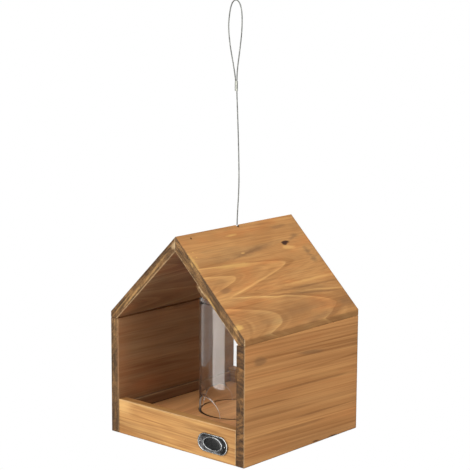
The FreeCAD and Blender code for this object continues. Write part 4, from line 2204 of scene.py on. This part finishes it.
    def _left_roof(self) -> StainedPine:
        """The other roof board, with long torn fibres along its front end.

        Returns:
            Its finish.
        """
        straw, apex = srgb(196, 154, 96), srgb(176, 150, 114)
        chip, red = srgb(168, 126, 82), srgb(180, 120, 76)
        torn = tuple(
            Mark(across, -83.5, reach, 2.2, straw, strength, depth=depth, half_depth=half_depth, dip=dip,
                 ragged=0.6, softness=1.0)
            for across, reach, strength, depth, half_depth, dip in (
                (46.0, 34.0, 0.5, 6.2, 1.7, 0.05),
                (84.0, 30.0, 0.55, 6.8, 1.6, 0.06),
                (98.0, 22.0, 0.4, 4.2, 1.0, 0.03),
            ))
        marks = (
            # painted light: a paler, redder pool on the underside near the front
            Mark(104.0, -78.0, 16.0, 18.0, red, 0.35, depth=10.0, half_depth=3.0, softness=1.0),
            Mark(112.4, -8.0, 1.6, 10.0, chip, 0.6, depth=10.0, half_depth=3.0),
            *torn,
            Mark(6.0, -83.5, 7.0, 2.2, apex, 0.8, depth=5.0, half_depth=3.6, ragged=0.5),
        )
        # painted shade: the inner tint darkens the underside
        return StainedPine(
            "left_roof_pine", self._roof_space(Side.LEFT),
            (Heart(38.0, 14.0, 10.0, -0.03), Heart(98.0, 22.0, -45.0)), seed=2.0, marks=marks,
            far_contrast=0.4, streaks=0.2, inner_shade_tint=(0.6, 0.66, 0.96), end_tint=(1.02, 0.85, 0.7), rub=0.45)

    def _right_wall(self) -> StainedPine:
        """The right wall: straight-grained, falling a little towards the back.

        Returns:
            Its finish.
        """
        fall = math.radians(2.2)
        space = BoardSpace(
            (self.house.half_width, 0.0, 0.0), (0.0, math.sin(fall), math.cos(fall)), (-1.0, 0.0, 0.0),
            (0.0, math.cos(fall), -math.sin(fall)))
        shade, dusk, red, chip = srgb(122, 80, 44), srgb(124, 92, 62), srgb(186, 118, 68), srgb(58, 40, 26)
        pale = srgb(204, 154, 94)
        marks = (
            Mark(93.0, -66.0, 6.0, 11.0, dusk, 0.5, ragged=0.7),
            Mark(91.0, 8.0, 3.0, 26.0, dusk, 0.5, lean=-0.1, ragged=0.7),
            Mark(61.4, 10.0, 1.3, 90.0, shade, 0.5),
            Mark(51.5, -50.0, 1.2, 40.0, shade, 0.4),
            Mark(31.5, 26.0, 1.5, 56.0, shade, 0.45),
            Mark(22.4, -20.0, 1.8, 80.0, shade, 0.45),
            Mark(105.0, 4.0, 3.0, 34.0, red, 0.25),
            Mark(9.0, -50.0, 6.0, 44.0, red, 0.2),
            Mark(66.0, 34.0, 3.0, 40.0, pale, 0.3),
            Mark(76.5, -40.0, 1.6, 46.0, pale, 0.35),
            Mark(2.6, 46.0, 1.5, 12.0, chip, 0.9, half_depth=2.0, ragged=0.8),
            Mark(2.6, 20.0, 1.1, 7.0, chip, 0.8, half_depth=2.0, ragged=0.8),
        )
        return StainedPine(
            "right_wall_pine", space, (Heart(-60.0, 45.0),), seed=3.0, taper=0.0, ring_spacing=6.4,
            ring_contrast=0.15, far_contrast=1.0, streaks=0.14, clouds=0.09, wander=0.9, stretch=3.0,
            blotches=0.4, lines=0.14, tint=(1.16, 1.14, 1.23), marks=marks, end_lines=(0.3, 0.12),
            end_heart=(52.0, 14.0), end_rings=0.25, end_tint=(0.84, 0.65, 0.47), rub=0.3)

    def _left_wall(self) -> StainedPine:
        """The left wall: flat-sawn, with its rings along the edge.

        Returns:
            Its finish.
        """
        corner = (-self.house.half_width, 0.0, 0.0)
        space = BoardSpace(corner, UP, RIGHT, BACK)
        chip, red = srgb(168, 126, 82), srgb(180, 116, 74)
        marks = (
            Mark(111.5, -12.0, 1.6, 9.0, chip, 0.6, depth=10.0, half_depth=3.0),
            # painted light: these two red marks are paler, redder pools on the inner face near the front
            Mark(76.0, -80.0, 60.0, 20.0, red, 0.3, depth=10.0, half_depth=3.0, softness=1.0),
            Mark(42.0, -52.0, 12.0, 32.0, red, 0.4, depth=10.0, half_depth=3.0, softness=1.0),
        )
        # painted shade: the inner tint darkens the face inside the house
        return StainedPine(
            "left_wall_pine", space, (Heart(-40.0, 60.0, 20.0),), seed=4.0, taper=0.04, ring_spacing=6.2,
            ring_contrast=0.15, far_contrast=0.9, streaks=0.14, threads=0.1, clouds=0.12, stretch=2.0,
            blotches=0.5, tint=(0.97, 0.93, 0.92), inner_shade_tint=(0.72, 0.85, 1.23),
            end_tint=(0.95, 0.82, 0.72), marks=marks, rub=0.15)

    def _floor(self) -> StainedPine:
        """The floor board, with its grain towards the front.

        Returns:
            Its finish.
        """
        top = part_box("floor_board")[1].z
        space = BoardSpace((0.0, 0.0, top), RIGHT, (0.0, 0.0, -1.0), BACK)
        # painted light: the tint is raised well above the other boards' to lift the floor out of the house's
        # shade
        return StainedPine(
            "floor_pine", space, (Heart(24.0, 40.0, -20.0), Heart(-60.0, 60.0, 30.0)), seed=5.0, taper=0.04,
            ring_spacing=4.4, ring_contrast=0.3, far_contrast=0.6, streaks=0.16, threads=0.1, lines=0.14,
            stretch=2.5, blotches=0.3, tint=(1.5, 1.62, 2.1), wear=0.4, groove=(33.75, 1.25))

    def _batten(self, side: Side) -> StainedPine:
        """A batten: tinted dark as painted shade, with its grain along the wall.

        Args:
            side: The wall it lies against.

        Returns:
            Its finish.
        """
        name = f"{side.name.lower()}_batten"
        low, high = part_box(name)
        face = high.x if side is Side.LEFT else low.x
        inwards = (float(side.value), 0.0, 0.0)
        space = BoardSpace((face, 0.0, low.z), UP, inwards, BACK)
        # painted shade: the dark tint stands for the shade on the batten's face
        return StainedPine(
            f"{name}_pine", space, (Heart(-30.0, 25.0),), seed=8.0 + side.value, taper=0.02, thickness=4.0,
            ring_spacing=3.4, ring_contrast=0.3, far_contrast=1.0, stretch=2.0, tint=(0.43, 0.47, 0.68),
            wear=0.9, rub=0.3)

    def _rail(self, end: End) -> StainedPine:
        """A rail: paler, with its grain from wall to wall.

        Args:
            end: The house's end that it closes.

        Returns:
            Its finish.
        """
        is_front, outwards = end is End.FRONT, end.value
        face = (0.0, outwards * self.house.half_depth, 0.0)
        space = BoardSpace(face, UP, (0.0, -outwards, 0.0), RIGHT)
        # painted shade: the rear rail's inner face is tinted darker
        inner = (1.0, 1.0, 1.0) if is_front else (0.75, 0.75, 0.78)
        marks = (Mark(28.0, -72.0, 14.0, 20.0, srgb(236, 192, 126), 0.45, softness=1.0),)
        return StainedPine(
            f"{end.name.lower()}_rail_pine", space, (Heart(-22.0, 30.0),), seed=6.0 + outwards, taper=0.03,
            ring_spacing=4.6, ring_contrast=0.4, far_contrast=1.0, streaks=0.24, threads=0.16, lines=0.2,
            clouds=0.18, wander=0.8, stretch=1.6, blotches=0.6, tint=(0.94, 0.99, 1.0), inner_shade_tint=inner,
            wear=0.45, rub=0.45, marks=marks if is_front else ())


def main() -> None:
    """Build the studio and the feeder's pieces in order, and report each of them."""
    logging.basicConfig(level=logging.INFO, format="%(name)s %(message)s")
    PhotoCamera().build()
    Hanger().build()
    Studio().build()
    for board in Joinery(House()).boards():
        board.build()
    SeedTube().build()
    Badge().build()
    HiddenFittings().build()


if __name__ == "__main__":
    main()
